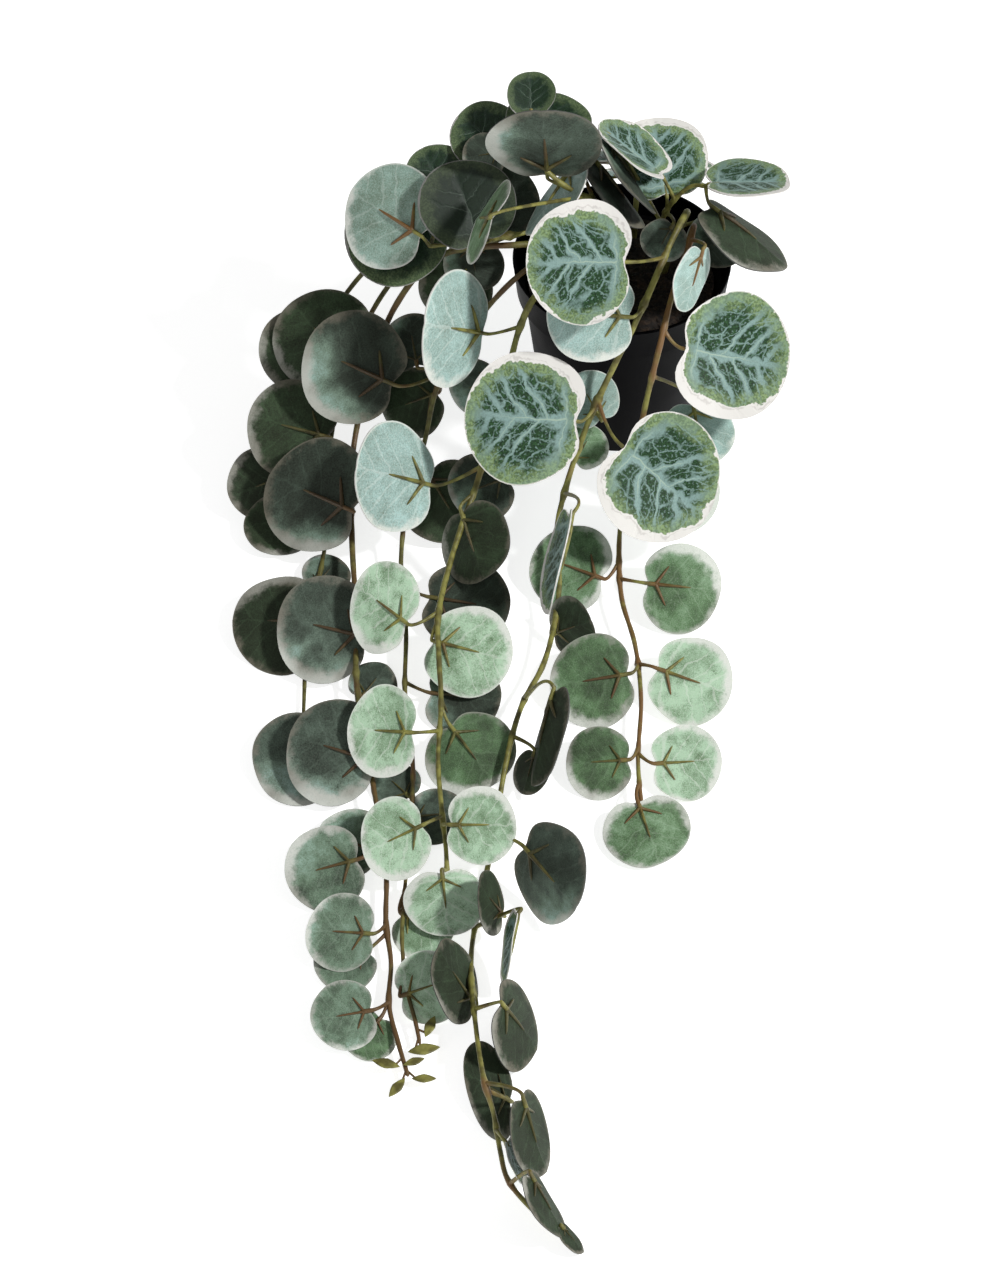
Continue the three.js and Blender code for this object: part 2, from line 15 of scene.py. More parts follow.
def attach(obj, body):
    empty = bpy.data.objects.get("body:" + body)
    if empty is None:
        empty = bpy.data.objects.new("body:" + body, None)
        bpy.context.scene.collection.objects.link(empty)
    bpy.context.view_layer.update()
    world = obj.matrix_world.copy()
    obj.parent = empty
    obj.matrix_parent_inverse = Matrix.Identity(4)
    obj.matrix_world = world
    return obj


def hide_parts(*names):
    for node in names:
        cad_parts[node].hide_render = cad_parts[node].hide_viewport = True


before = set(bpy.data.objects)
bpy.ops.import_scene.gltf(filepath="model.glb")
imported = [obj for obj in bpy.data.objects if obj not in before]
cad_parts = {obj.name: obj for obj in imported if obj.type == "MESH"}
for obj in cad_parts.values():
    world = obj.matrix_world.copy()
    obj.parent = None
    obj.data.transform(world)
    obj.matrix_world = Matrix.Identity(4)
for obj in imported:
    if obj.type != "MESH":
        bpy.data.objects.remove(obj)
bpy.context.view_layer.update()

MM = 0.001
BODY = "root"
SEED_STEP = 9.0
LOG = logging.getLogger("string_of_hearts")


class ToneAndShade(Enum):
    """How light a blade is, partly its own tone and partly painted shade that darkens leaves lying in shadow, and how
    blue its green or how strong its silver net is.
    """

    DARK = (0.02, 0.85)
    FOREST = (0.03, 0.05)
    OLIVE = (0.01, 0.20)
    SHADE = (0.08, 0.90)
    MIST = (0.24, 0.60)
    MOSS = (0.17, 0.00)
    GREEN = (0.32, 0.05)
    # A teal underside darkened by painted shade.
    SEA_IN_SHADE = (0.50, 0.80)
    BRIGHT = (0.82, 0.10)
    TEAL = (0.67, 1.00)
    PRINTED = (0.70, 1.00)
    PLAIN = (0.28, 0.10)
    # A printed upper face darkened by painted shade.
    PRINTED_IN_SHADE = (0.12, 0.05)


TONES = dict(zip("dfosnmgebtpqz", ToneAndShade))
UPPER_TONES = (ToneAndShade.PRINTED, ToneAndShade.PLAIN, ToneAndShade.PRINTED_IN_SHADE)


class LeafPlan(NamedTuple):
    """A leaf's place in the picture, its size and stance, its tone by letter, which also sets its painted shade, and
    where its white margin is broad, the side on which an underside is painted lit.

    Lengths and heights are millimetres, and headings are degrees in the picture, from the right, anticlockwise.
    A squeeze is the heading in which a leaf is slimmer than most, and how slim it is there.
    """

    across: float
    down: float
    height: float
    width: float
    heading: float
    turn: float
    turn_heading: float
    tone: str
    margin: float | None = None
    squeeze: tuple[float, float] | None = None

    @property
    def face(self) -> int:
        """1 where the printed upper face looks at the viewer, and -1 where the underside does."""
        return 1 if TONES[self.tone] in UPPER_TONES else -1

    def aside(self, heading: float) -> float:
        """A heading in the picture as a turn in the blade, from its tip towards its right."""
        return math.radians(self.heading - heading) * self.face


@dataclass(frozen=True)
class StemPlan:
    """Where one leafy stem runs, from a picture taken from above its front.

    A place is a pixel across, a pixel down and a height over the surface in millimetres. A leaf is a row of
    LeafPlan. A tip leaf is its place, length and heading.
    """

    name: str
    radius: float
    root: tuple[float, float]
    route: Sequence[tuple[float, float, float]]
    leaves: Sequence[tuple]
    tips: Sequence[tuple] = ()
    warmth: float = 0.3
    # Painted shade on the stem and its stalks: the lower the light, the darker they are.
    light: float = 0.5


# A leaf's tone letter sets its painted shade, and a stem's light sets the painted shade of its stem and stalks.
PLANS = (
    StemPlan(
        "stem_long", 1.7, (24, 4),
        (
            (687, 212, 149), (672, 240, 147), (652, 286, 135), (633, 328, 119), (611, 372, 98), (590, 418, 74),
            (568, 480, 47), (557, 530, 33), (559, 590, 19), (545, 660, 14), (522, 705, 15), (510, 745, 17),
            (501, 790, 10), (496, 825, 5), (484, 885, 3.6), (474, 932, 3.6), (471, 962, 9), (474, 1010, 20),
            (484, 1080, 25), (494, 1115, 16), (500, 1150, 9), (508, 1180, 7), (538, 1215, 6), (560, 1234, 5),
        ),
        (
            (582, 262, 157, 66, 180, 4, -120, "p", 70), (527, 418, 82, 74, 176, 2, 180, "p", 62),
            (659, 478, 64, 72, -41, 3, 0, "p", -130), (593, 314, 128, 54, 175, 6, -90, "t", -90),
            (590, 400, 78, 34, 120, 6, -90, "t"), (584, 446, 52, 28, 60, 4, 90, "g"),
            (561, 558, 54, 66, -102, 80, 168, "p", None, (-12, 0.75)), (570, 630, 14, 34, 20, 40, 200, "o"),
            (545, 732, 34, 62, -103, 72, 166, "o", None, (-15, 0.65)), (530, 776, 7, 28, -100, 50, 160, "o"),
            (548, 876, 24.5, 56, -24, 50, 188, "s"), (492, 902, 24, 34, 170, 66, 10, "o"),
            (511, 955, 15, 46, -99, 80, 171, "p", None, (-10, 0.55)),
            (457, 983, 16, 46, 150, 58, 22, "o", None, (25, 0.85)),
            (517, 1027, 18, 48, -15, 60, 14, "o", None, (12, 0.9)),
            (490, 1089, 9, 52, 165, 25, 90, "o", None, (14, 0.48)),
            (532, 1136, 17, 46, -60, 63, 15, "o", None, (20, 0.85)), (514, 1160, 12, 26, -68, 74, 22, "p"),
            (545, 1202, 18, 40, -60, 72, 30, "o", None, (32, 0.75)),
            (571, 1239, 6, 20, -48, 56, 40, "o", None, (42, 0.55)),
        ),
        warmth=0.2,
    ),
    StemPlan(
        "stem_right", 1.6, (31, -5),
        (
            (694, 226, 140), (684, 262, 137), (672, 296, 127), (660, 345, 112), (647, 398, 86), (632, 470, 50),
            (621, 520, 26), (619, 560, 16), (622, 600, 13), (635, 645, 12), (641, 700, 11), (638, 760, 10),
            (641, 800, 9), (645, 824, 8),
        ),
        (
            (731, 357, 108, 70, -10, 4, 0, "p", -120), (694, 277, 148, 42, -80, 66, -20, "t"),
            (698, 432, 60, 42, -80, 4, 90, "t", -60), (676, 494, 48, 50, -60, 0, 0, "b", -40),
            (572, 568, 14, 50, 159, 12, 90, "g", -20), (680, 587, 18, 50, -6, 10, 90, "g", 60),
            (594, 680, 14, 52, 190, 15, 90, "m", -120), (690, 680, 14, 50, -20, 15, 90, "b", 20),
            (600, 762, 11, 40, 184, 16, 90, "m", -120), (685, 762, 12, 42, 4, 16, 90, "b", 10),
            (647, 829, 8, 46, -76, 30, 90, "g", 110),
        ),
        warmth=0.6,
    ),
    StemPlan(
        "stem_front_left", 1.7, (-8, -14),
        (
            (598, 272, 112), (560, 276, 121), (534, 298, 119), (519, 330, 104), (508, 372, 84), (493, 425, 66),
            (478, 480, 50), (462, 525, 40), (448, 570, 35), (438, 617, 33), (439, 660, 29), (441, 700, 25),
            (438, 760, 22), (442, 812, 20), (446, 850, 17), (447, 872, 14),
        ),
        (
            (458, 329, 112, 64, 170, 54, -14, "t", -120), (475, 386, 68, 32, 200, 4, 90, "s"),
            (398, 477, 52, 62, 174, 40, 4, "t", -90), (482, 487, 38, 40, 200, 4, 90, "d"),
            (472, 542, 36, 50, -60, 42, 180, "f"), (384, 606, 36, 52, 148, 14, 120, "b", -120, (0, 0.78)),
            (468, 650, 25, 52, -15, 15, 90, "b", 45), (384, 731, 31, 51, 176, 14, 110, "b", -110, (0, 0.8)),
            (470, 752, 13, 49, -55, 18, 90, "m", -100), (396, 838, 22, 44, 205, 18, 90, "b", -110, (0, 0.92)),
            (480, 825, 30.5, 41, 0, 12, 90, "b", 60), (445, 900, 15, 41, -84, 20, 90, "b", 140),
        ),
        warmth=0.15,
    ),
    StemPlan(
        "stem_middle_left", 1.5, (-17, -7),
        (
            (582, 256, 116), (550, 256, 124), (516, 278, 117), (470, 330, 88), (437, 388, 64), (425, 440, 44),
            (408, 500, 26), (401, 560, 15), (406, 630, 12), (405, 695, 9), (413, 770, 7), (409, 840, 6),
            (404, 900, 7), (402, 940, 8), (407, 990, 8), (415, 1020, 7), (420, 1044, 6),
        ),
        (
            (354, 367, 80, 64, 156, 0, 0, "d", 215), (413, 343, 74, 36, 100, 2, 90, "d"),
            (413, 402, 50, 40, 200, 2, 90, "f"), (444, 500, 22, 50, -60, 8, 90, "f"),
            (465, 603, 11, 54, -10, 25, 90, "d"), (462, 697, 7.5, 46, -8, 30, 90, "d"),
            (396, 785, 4, 28, 130, 32, 90, "s"), (436, 815, 5, 34, 10, 34, 90, "s"),
            (424, 926, 5, 36, -35, 34, 90, "b"), (428, 987, 10, 38, 20, 16, 90, "b"),
        ),
        ((430, 1027, 7, 13, 70), (424, 1050, 7, 16, 10)),
        warmth=0.5,
        light=0.25,
    ),
    StemPlan(
        "stem_lower_left", 1.7, (-23, 2),
        (
            (566, 247, 117), (515, 245, 125), (440, 256, 114), (396, 305, 86), (368, 380, 56), (352, 460, 32),
            (352, 540, 20), (356, 610, 16), (357, 690, 13), (374, 790, 12), (386, 870, 9), (386, 925, 8),
            (391, 962, 7), (389, 1005, 7), (398, 1042, 6), (408, 1076, 6),
        ),
        (
            (316, 495, 36, 66, 158, 20, 170, "d", 265), (326, 628, 20, 60, 165, 16, 95, "s", 230),
            (373, 683, 5, 28, 60, 30, 90, "s"), (336, 750, 21, 58, 160, 18, 95, "s", -100),
            (353, 842, 6, 42, 140, 32, 90, "n"), (326, 868, 14, 46, 195, 16, 100, "n", 150),
            (342, 932, 14, 40, 176, 14, 90, "n"), (345, 962, 4, 34, 215, 34, 90, "n"),
            (345, 1015, 13, 36, 190, 14, 90, "n"), (368, 1034, 4, 30, 240, 34, 90, "g"),
        ),
        ((386, 1064, 6, 14, 165), (424, 1079, 6, 12, 0), (397, 1088, 6, 13, 235), (414, 1062, 8, 11, 20)),
        warmth=0.6,
        light=0.25,
    ),
    StemPlan(
        "stem_far_left_lower", 1.5, (-22, 12),
        (
            (566, 234, 118), (514, 231, 124), (446, 240, 110), (390, 284, 76), (348, 366, 44), (328, 460, 19),
            (325, 545, 8), (308, 630, 4), (304, 700, 4), (303, 740, 4),
        ),
        (
            (280, 622, 12.5, 58, 175, 24, 100, "o", 110), (326, 574, 6, 28, 60, 30, 90, "d"),
            (298, 757, 10, 54, 190, 28, 100, "s", -90),
        ),
        light=0.2,
    ),
    StemPlan(
        "stem_far_left_upper", 1.5, (-13, 20),
        (
            (570, 220, 118), (513, 216, 126), (440, 224, 112), (368, 268, 80), (318, 340, 50), (290, 415, 26),
            (282, 490, 12), (284, 515, 8),
        ),
        (
            (322, 337, 70, 58, 130, 2, 90, "f"), (300, 350, 62, 50, 190, 4, 90, "f"),
            (293, 428, 46, 56, 165, 4, 90, "f"), (264, 484, 19, 44, 200, 8, 90, "o"),
            (279, 524, 12, 40, 250, 18, 90, "f"),
        ),
        light=0.2,
    ),
    StemPlan(
        "stem_mound_left", 1.6, (-5, 12),
        (
            (600, 238, 120), (560, 228, 131), (508, 236, 135), (462, 243, 134), (430, 246, 133),
        ),
        (
            (390, 216, 150, 60, 150, 22, 180, "e", 200), (396, 232, 126, 62, 200, 4, -90, "q"),
            (467, 205, 160, 54, 110, 6, 0, "z"), (500, 200, 138, 46, 60, 0, 0, "d"),
            (438, 176, 154, 38, 120, 4, 90, "q"), (456, 288, 90, 42, 240, 0, 90, "f"),
            (474, 264, 100, 34, 280, 4, -90, "d"),
        ),
    ),
    StemPlan(
        "stem_mound_top", 1.6, (4, 24),
        (
            (616, 222, 138), (592, 200, 162), (562, 184, 176), (540, 162, 186), (532, 134, 190),
        ),
        (
            (484, 135, 168, 40, 140, 10, 90, "q"), (531, 95, 196, 30, 90, 14, 90, "q", None, (0, 0.88)),
            (545, 147, 200, 62, 92, 58, -90, "s", 185), (548, 124, 184, 48, 80, 30, 90, "q"),
            (484, 155, 169, 26, 190, 10, 90, "d"), (484, 219, 179, 50, 155, 75, 155, "g"),
            (555, 196, 160, 56, -125, 70, 145, "t"), (616, 190, 154, 56, -52, 72, 38, "d"),
        ),
    ),
    StemPlan(
        "stem_mound_right", 1.6, (20, 16),
        (
            (664, 216, 132), (676, 198, 148), (692, 186, 158), (706, 186, 162),
        ),
        (
            (660, 160, 158, 54, 100, 10, 90, "p", 80), (634, 152, 176, 54, 142, 62, 52, "p", -60),
            (627, 172, 172, 60, -55, 80, 35, "d"), (746, 182, 166, 54, 2, 60, 90, "p", -60),
            (744, 233, 146, 64, -37, 62, 53, "o"), (716, 240, 121, 34, 250, 10, 90, "d"),
            (664, 240, 134, 26, 240, 4, -90, "s"),
        ),
    ),
    StemPlan(
        "stem_mound_back", 1.6, (8, 34),
        (
            (636, 204, 118), (640, 176, 126), (643, 158, 118), (643, 160, 96), (642, 172, 74),
        ),
        (
            (585, 160, 124, 52, 170, 74, 90, "p"), (612, 140, 128, 50, 130, 70, 90, "p"),
            (678, 158, 116, 50, 10, 74, 70, "p"), (600, 176, 90, 48, 200, 80, 95, "p"),
            (676, 182, 90, 48, -20, 80, 80, "p"), (640, 192, 62, 50, 270, 88, 90, "p"),
        ),
    ),
)


def deselect() -> None:
    """Leaves nothing selected, in object mode."""
    if bpy.context.object and bpy.context.object.mode != "OBJECT":
        bpy.ops.object.mode_set(mode="OBJECT")
    bpy.ops.object.select_all(action="DESELECT")


def activate(*pieces: bpy.types.Object) -> None:
    """Selects these objects alone; the first is the active one."""
    deselect()
    for piece in pieces:
        piece.select_set(True)
    bpy.context.view_layer.objects.active = pieces[0]


def coordinates(mesh: bpy.types.Mesh) -> np.ndarray:
    """The mesh's vertices as an array of rows."""
    flat = np.empty(len(mesh.vertices) * 3)
    mesh.vertices.foreach_get("co", flat)
    return flat.reshape(-1, 3)


def move_to(mesh: bpy.types.Mesh, points: np.ndarray) -> None:
    """Puts the mesh's vertices at these places."""
    mesh.vertices.foreach_set("co", points.ravel())
    mesh.update()


def write_attribute(mesh: bpy.types.Mesh, name: str, values: np.ndarray) -> None:
    """Stores three numbers a vertex under a name that a material can read."""
    attribute = mesh.attributes.get(name) or mesh.attributes.new(name, "FLOAT_VECTOR", "POINT")
    attribute.data.foreach_set("vector", values.astype(np.float32).ravel())


@dataclass(frozen=True)
class PictureView:
    """The slanting view in which the plant's layout was measured; it is also the camera's."""

    slope: float = math.radians(50)
    reach: float = 1800 * MM
    pixel: float = 0.548 * MM
    middle: tuple[float, float] = (500, 639)
    rim_pixel: tuple[float, float] = (622, 257)
    pot_height: float = 110 * MM
    picture_long_side: float = 1278

    def toward(self, across: float, up: float, out: float) -> Vector:
        """A step across the picture, up the picture and out of it towards the viewer.

        Args:
            across: Metres to the right.
            up: Metres up the picture.
            out: Metres towards the viewer.

        Returns:
            The same step in the plant's frame.
        """
        level = up * math.sin(self.slope) - out * math.cos(self.slope)
        return Vector((across, level, up * math.cos(self.slope) + out * math.sin(self.slope)))

    def eye(self) -> Vector:
        """The place of the viewer's eye."""
        rim = self.ray(*self.rim_pixel)
        return Vector((0, 0, self.pot_height)) - rim

    def ray(self, across: float, down: float) -> Vector:
        """The step from the eye to the picture plane at a pixel."""
        right = (across - self.middle[0]) * self.pixel
        up = (self.middle[1] - down) * self.pixel
        return self.toward(right, up, -self.reach)

    def spot(self, across: float, down: float, height: float) -> Vector:
        """The point at a pixel that lies at a height over the surface.

        Args:
            across: Pixel across the picture.
            down: Pixel down the picture.
            height: Height in millimetres.

        Returns:
            The point in metres.
        """
        eye = self.eye()
        ray = self.ray(across, down)
        return eye + ray * ((height * MM - eye.z) / ray.z)


VIEW = PictureView()


@dataclass
class SoftCurve:
    """A smooth line through points, close-spaced, as a garden wire would run through rings."""

    knots: list[Vector]
    spacing: float = 1.2 * MM
    steps: int = 24

    def points(self) -> list[Vector]:
        """Close points along the line, evenly spaced."""
        rough = self._rough()
        lengths = np.concatenate([[0], np.cumsum([(b - a).length for a, b in zip(rough, rough[1:])])])
        count = max(int(lengths[-1] / self.spacing), 2)
        even = np.linspace(0, lengths[-1], count + 1)
        columns = [np.interp(even, lengths, column) for column in np.array(rough).T]
        return [Vector(row) for row in np.stack(columns, 1)]

    def _rough(self) -> list[Vector]:
        """Points of the centripetal spline, unevenly spaced."""
        knots = self.knots
        padded = [knots[0] * 2 - knots[1], *knots, knots[-1] * 2 - knots[-2]]
        made = []
        for a, b, c, d in zip(padded, padded[1:], padded[2:], padded[3:]):
            before, here, after = (math.sqrt((q - p).length) for p, q in ((a, b), (b, c), (c, d)))
            start = ((b - a) / before - (c - a) / (before + here) + (c - b) / here) * here
            end = ((c - b) / here - (d - b) / (here + after) + (d - c) / after) * here
            square = b * -3 + c * 3 - start * 2 - end
            cube = b * 2 - c * 2 + start + end
            for t in (step / self.steps for step in range(self.steps)):
                made.append(b + start * t + square * t**2 + cube * t**3)
        return [*made, knots[-1]]


@dataclass(frozen=True)
class Signal:
    """What one output of a node carries. A sum with it adds the nodes that it takes."""

    graph: "Graph"
    socket: bpy.types.NodeSocket

    def __add__(self, other: object) -> "Signal":
        """This plus the other."""
        return self.graph.math("ADD", self, other)

    def __sub__(self, other: object) -> "Signal":
        """This minus the other."""
        return self.graph.math("SUBTRACT", self, other)

    def __mul__(self, other: object) -> "Signal":
        """This times the other."""
        return self.graph.math("MULTIPLY", self, other)

    def __truediv__(self, other: object) -> "Signal":
        """This divided by the other."""
        return self.graph.math("DIVIDE", self, other)

    def __abs__(self) -> "Signal":
        """This without its sign."""
        return self.graph.math("ABSOLUTE", self)


@dataclass
class Graph:
    """A node tree, with short calls that add nodes and wire them."""

    tree: bpy.types.NodeTree

    def add(self, kind: str, inputs: dict | None = None, **settings) -> bpy.types.Node:
        """Adds a node.

        Args:
            kind: Type of node, without its ShaderNode prefix.
            inputs: Values or signals by input name or number.
            settings: Properties of the node.

        Returns:
            The node.
        """
        node = self.tree.nodes.new("ShaderNode" + kind)
        for name, value in settings.items():
            setattr(node, name, value)
        for name, value in (inputs or {}).items():
            self.feed(node.inputs[name], value)
        return node

    def feed(self, socket: bpy.types.NodeSocket, value: object) -> None:
        """Wires a signal to a socket, or sets its value."""
        if isinstance(value, Signal):
            self.tree.links.new(value.socket, socket)
        else:
            socket.default_value = value

    def signal(self, node: bpy.types.Node, output: str | int = 0) -> Signal:
        """What a node gives at one of its outputs."""
        return Signal(self, node.outputs[output])

    def math(self, operation: str, *values: object) -> Signal:
        """One sum of numbers."""
        return self.signal(self.add("Math", dict(enumerate(values)), operation=operation))

    def least(self, one: object, other: object) -> Signal:
        """The lower of two numbers."""
        return self.math("MINIMUM", one, other)

    def most(self, one: object, other: object) -> Signal:
        """The higher of two numbers."""
        return self.math("MAXIMUM", one, other)

    def ease(self, value: object, low: float, high: float, start: float = 0, end: float = 1) -> Signal:
        """Runs smoothly from start to end while value goes from low to high."""
        inputs = {"Value": value, "From Min": low, "From Max": high, "To Min": start, "To Max": end}
        return self.signal(self.add("MapRange", inputs, interpolation_type="SMOOTHSTEP"))

    def mix(self, share: object, one: object, other: object) -> Signal:
        """A colour between two colours."""
        return self.signal(self.add("Mix", {0: share, 6: one, 7: other}, data_type="RGBA"), 2)

    def noise(self, place: object, scale: float, detail: float = 2, rough: float = 0.5) -> Signal:
        """Cloudy values around one half."""
        inputs = {"Vector": place, "Scale": scale, "Detail": detail, "Roughness": rough}
        return self.signal(self.add("TexNoise", inputs), "Fac")

    def vector(self, x: object, y: object, z: object = 0.0) -> Signal:
        """A vector of three numbers."""
        return self.signal(self.add("CombineXYZ", {0: x, 1: y, 2: z}))

    def parts(self, vector: object) -> tuple[Signal, ...]:
        """The three numbers of a vector."""
        return tuple(Signal(self, socket) for socket in self.add("SeparateXYZ", {0: vector}).outputs)

    def attribute(self, name: str) -> Signal:
        """What a mesh stores under a name."""
        return self.signal(self.add("Attribute", attribute_name=name), "Vector")

    def place(self) -> Signal:
        """Where a point lies in its object, in metres."""
        return self.signal(self.add("TexCoord"), "Object")


def colour(red: float, green: float, blue: float) -> tuple[float, float, float, float]:
    """A plain colour for a socket, from the shares that a paint chart gives."""
    shares = (red, green, blue)
    return (*(((share + 0.055) / 1.055) ** 2.4 if share > 0.04 else share / 12.92 for share in shares), 1.0)


def node_group(
    name: str, inputs: dict[str, str], outputs: Sequence[str]
) -> tuple[bpy.types.NodeTree, Graph, dict[str, Signal]]:
    """Starts a shader node group with named sockets.

    Args:
        name: Name of the group.
        inputs: Kind of each input socket, by name.
        outputs: Names of the output sockets, which are numbers.

    Returns:
        The group, its graph, and the signals of its inputs by name.
    """
    tree = bpy.data.node_groups.new(name, "ShaderNodeTree")
    for label, kind in inputs.items():
        tree.interface.new_socket(label, in_out="INPUT", socket_type="NodeSocket" + kind)
    for label in outputs:
        tree.interface.new_socket(label, in_out="OUTPUT", socket_type="NodeSocketFloat")
    graph = Graph(tree)
    given = tree.nodes.new("NodeGroupInput").outputs
    return tree, graph, {socket.name: Signal(graph, socket) for socket in given if socket.name}


@dataclass(frozen=True)
class VeinPattern:
    """The veins of a heart-shaped leaf: a midrib, side veins that curve up from it, and a fine net between them.

    Lengths are shares of the leaf's width.
    """

    root: float = 0.28
    slope: float = 0.68
    spacing: float = 0.165
    breadth: float = 0.142
    stagger: float = 0.036
    wander: float = 0.12
    ragged: float = 1.3
    net_scale: float = 11.0
    net_width: float = 0.09
    ridge_width: float = 0.009
    ridge_taper: float = 0.012

    def group(self) -> bpy.types.NodeTree:
        """Makes the node group.

        Returns:
            The group, which gives how far a point of a blade is on a vein, in the net and on a raised ridge.
        """
        taken, found = {"Leaf": "Vector", "Width": "Float"}, ("Veins", "Net", "Ridge")
        tree, graph, given = node_group("leaf veins", taken, found)
        x, y, seed = graph.parts(given["Leaf"])
        shift = seed * SEED_STEP
        place = graph.vector(x, y, shift)
        warp = graph.add("TexNoise", {"Vector": place, "Scale": 6.0, "Detail": 4.0, "Roughness": 0.6})
        warp_x, warp_y, _ = graph.parts(graph.signal(warp, "Color"))
        bent_x = x + (warp_x - 0.5) * self.wander
        bent_y = y + (warp_y - 0.5) * self.wander
        aside = abs(bent_x)
        forward = bent_y + self.root
        slope = graph.ease(forward / (aside * 1.5 + 1.0), -0.06, 0.24, 0, self.slope)
        start = forward - aside * slope
        stagger = graph.math("SIGN", bent_x) * graph.ease(start, 0.02, 0.12, 0, self.stagger)
        rung = (start + stagger) / self.spacing
        gap = abs(graph.math("FRACT", rung + 0.5) - 0.5) * self.breadth
        ragged = graph.noise(place, 42.0, 2, 0.6) * self.ragged - self.ragged / 2
        width = given["Width"] * graph.ease(graph.noise(place, 9.0), 0.35, 0.65, 0.6, 1.7)
        midrib = aside / (width * (forward * -0.9 + 1.3))
        sides = gap / (width * (aside * -0.7 + 0.72))
        veins = graph.ease(graph.least(midrib, sides) + ragged, 0.55, 1.75, 1, 0)
        cells = graph.vector(bent_x * 0.7, start * 1.25, shift)
        inputs = {"Vector": cells, "Scale": self.net_scale, "Randomness": 1.0}
        edge = graph.signal(graph.add("TexVoronoi", inputs, feature="DISTANCE_TO_EDGE"), "Distance")
        net = graph.ease(ragged * 0.07 + edge, 0.0, self.net_width, 1, 0)
        line = abs((bent_x - x) * 0.6 + x)
        ridge = graph.ease(line / (forward * -self.ridge_taper + self.ridge_width), 0.4, 1.0, 1, 0)
        ridge = ridge * graph.ease(forward, -0.02, 0.01) * graph.ease(forward, 0.25, 0.55, 1, 0)
        side_ridge = graph.ease(gap, 0.002, 0.005, 1, 0) * graph.ease(aside, 0.1, 0.3, 0.8, 0)
        ridge = graph.most(ridge, side_ridge * graph.ease(start, 0.35, 0.5, 1, 0))
        out = tree.nodes.new("NodeGroupOutput")
        for label, signal in zip(found, (veins, net, ridge)):
            graph.feed(out.inputs[label], signal)
        return tree


@dataclass(frozen=True)
class Finish:
    """A finish, with its sheen and the strength and depth of its relief; each kind paints its own material."""

    name: str
    sheen: float = 0.5
    relief: float = 0.4
    relief_depth: float = 0.5 * MM

    def material(self) -> bpy.types.Material:
        """Makes the material, painted."""
        made = bpy.data.materials.new(self.name)
        made.use_nodes = True
        graph = Graph(made.node_tree)
        graph.tree.nodes.clear()
        body, roughness, height = self.paint(graph)
        bump = graph.add("Bump", {"Strength": self.relief, "Distance": self.relief_depth, "Height": height})
        shader = graph.add("BsdfPrincipled", {"Base Color": body, "Roughness": roughness, "Normal": graph.signal(bump)})
        shader.inputs["Specular IOR Level"].default_value = self.sheen
        graph.add("OutputMaterial", {"Surface": graph.signal(shader)})
        return made

    def paint(self, graph: Graph) -> tuple[Signal, object, Signal]:
        """Adds the nodes of the finish.

        Args:
            graph: The material's graph.

        Returns:
            Its colour, its roughness and the height of its relief.
        """
        raise NotImplementedError


@dataclass(frozen=True)
class LeafFinish(Finish):
    """What the finishes of a blade's two faces share."""

    veins: bpy.types.NodeTree = None
    vein_width: float = 0.02

    def blade(self, graph: Graph) -> tuple[Signal, ...]:
        """Where a point lies on its blade, moved on by the leaf's seed, and its veins, its net and its ridges."""
        leaf = graph.attribute("leaf")
        x, y, seed = graph.parts(leaf)
        found = graph.add("Group", {"Leaf": leaf, "Width": self.vein_width}, node_tree=self.veins)
        return graph.vector(x, y, seed * SEED_STEP), *(Signal(graph, socket) for socket in found.outputs)


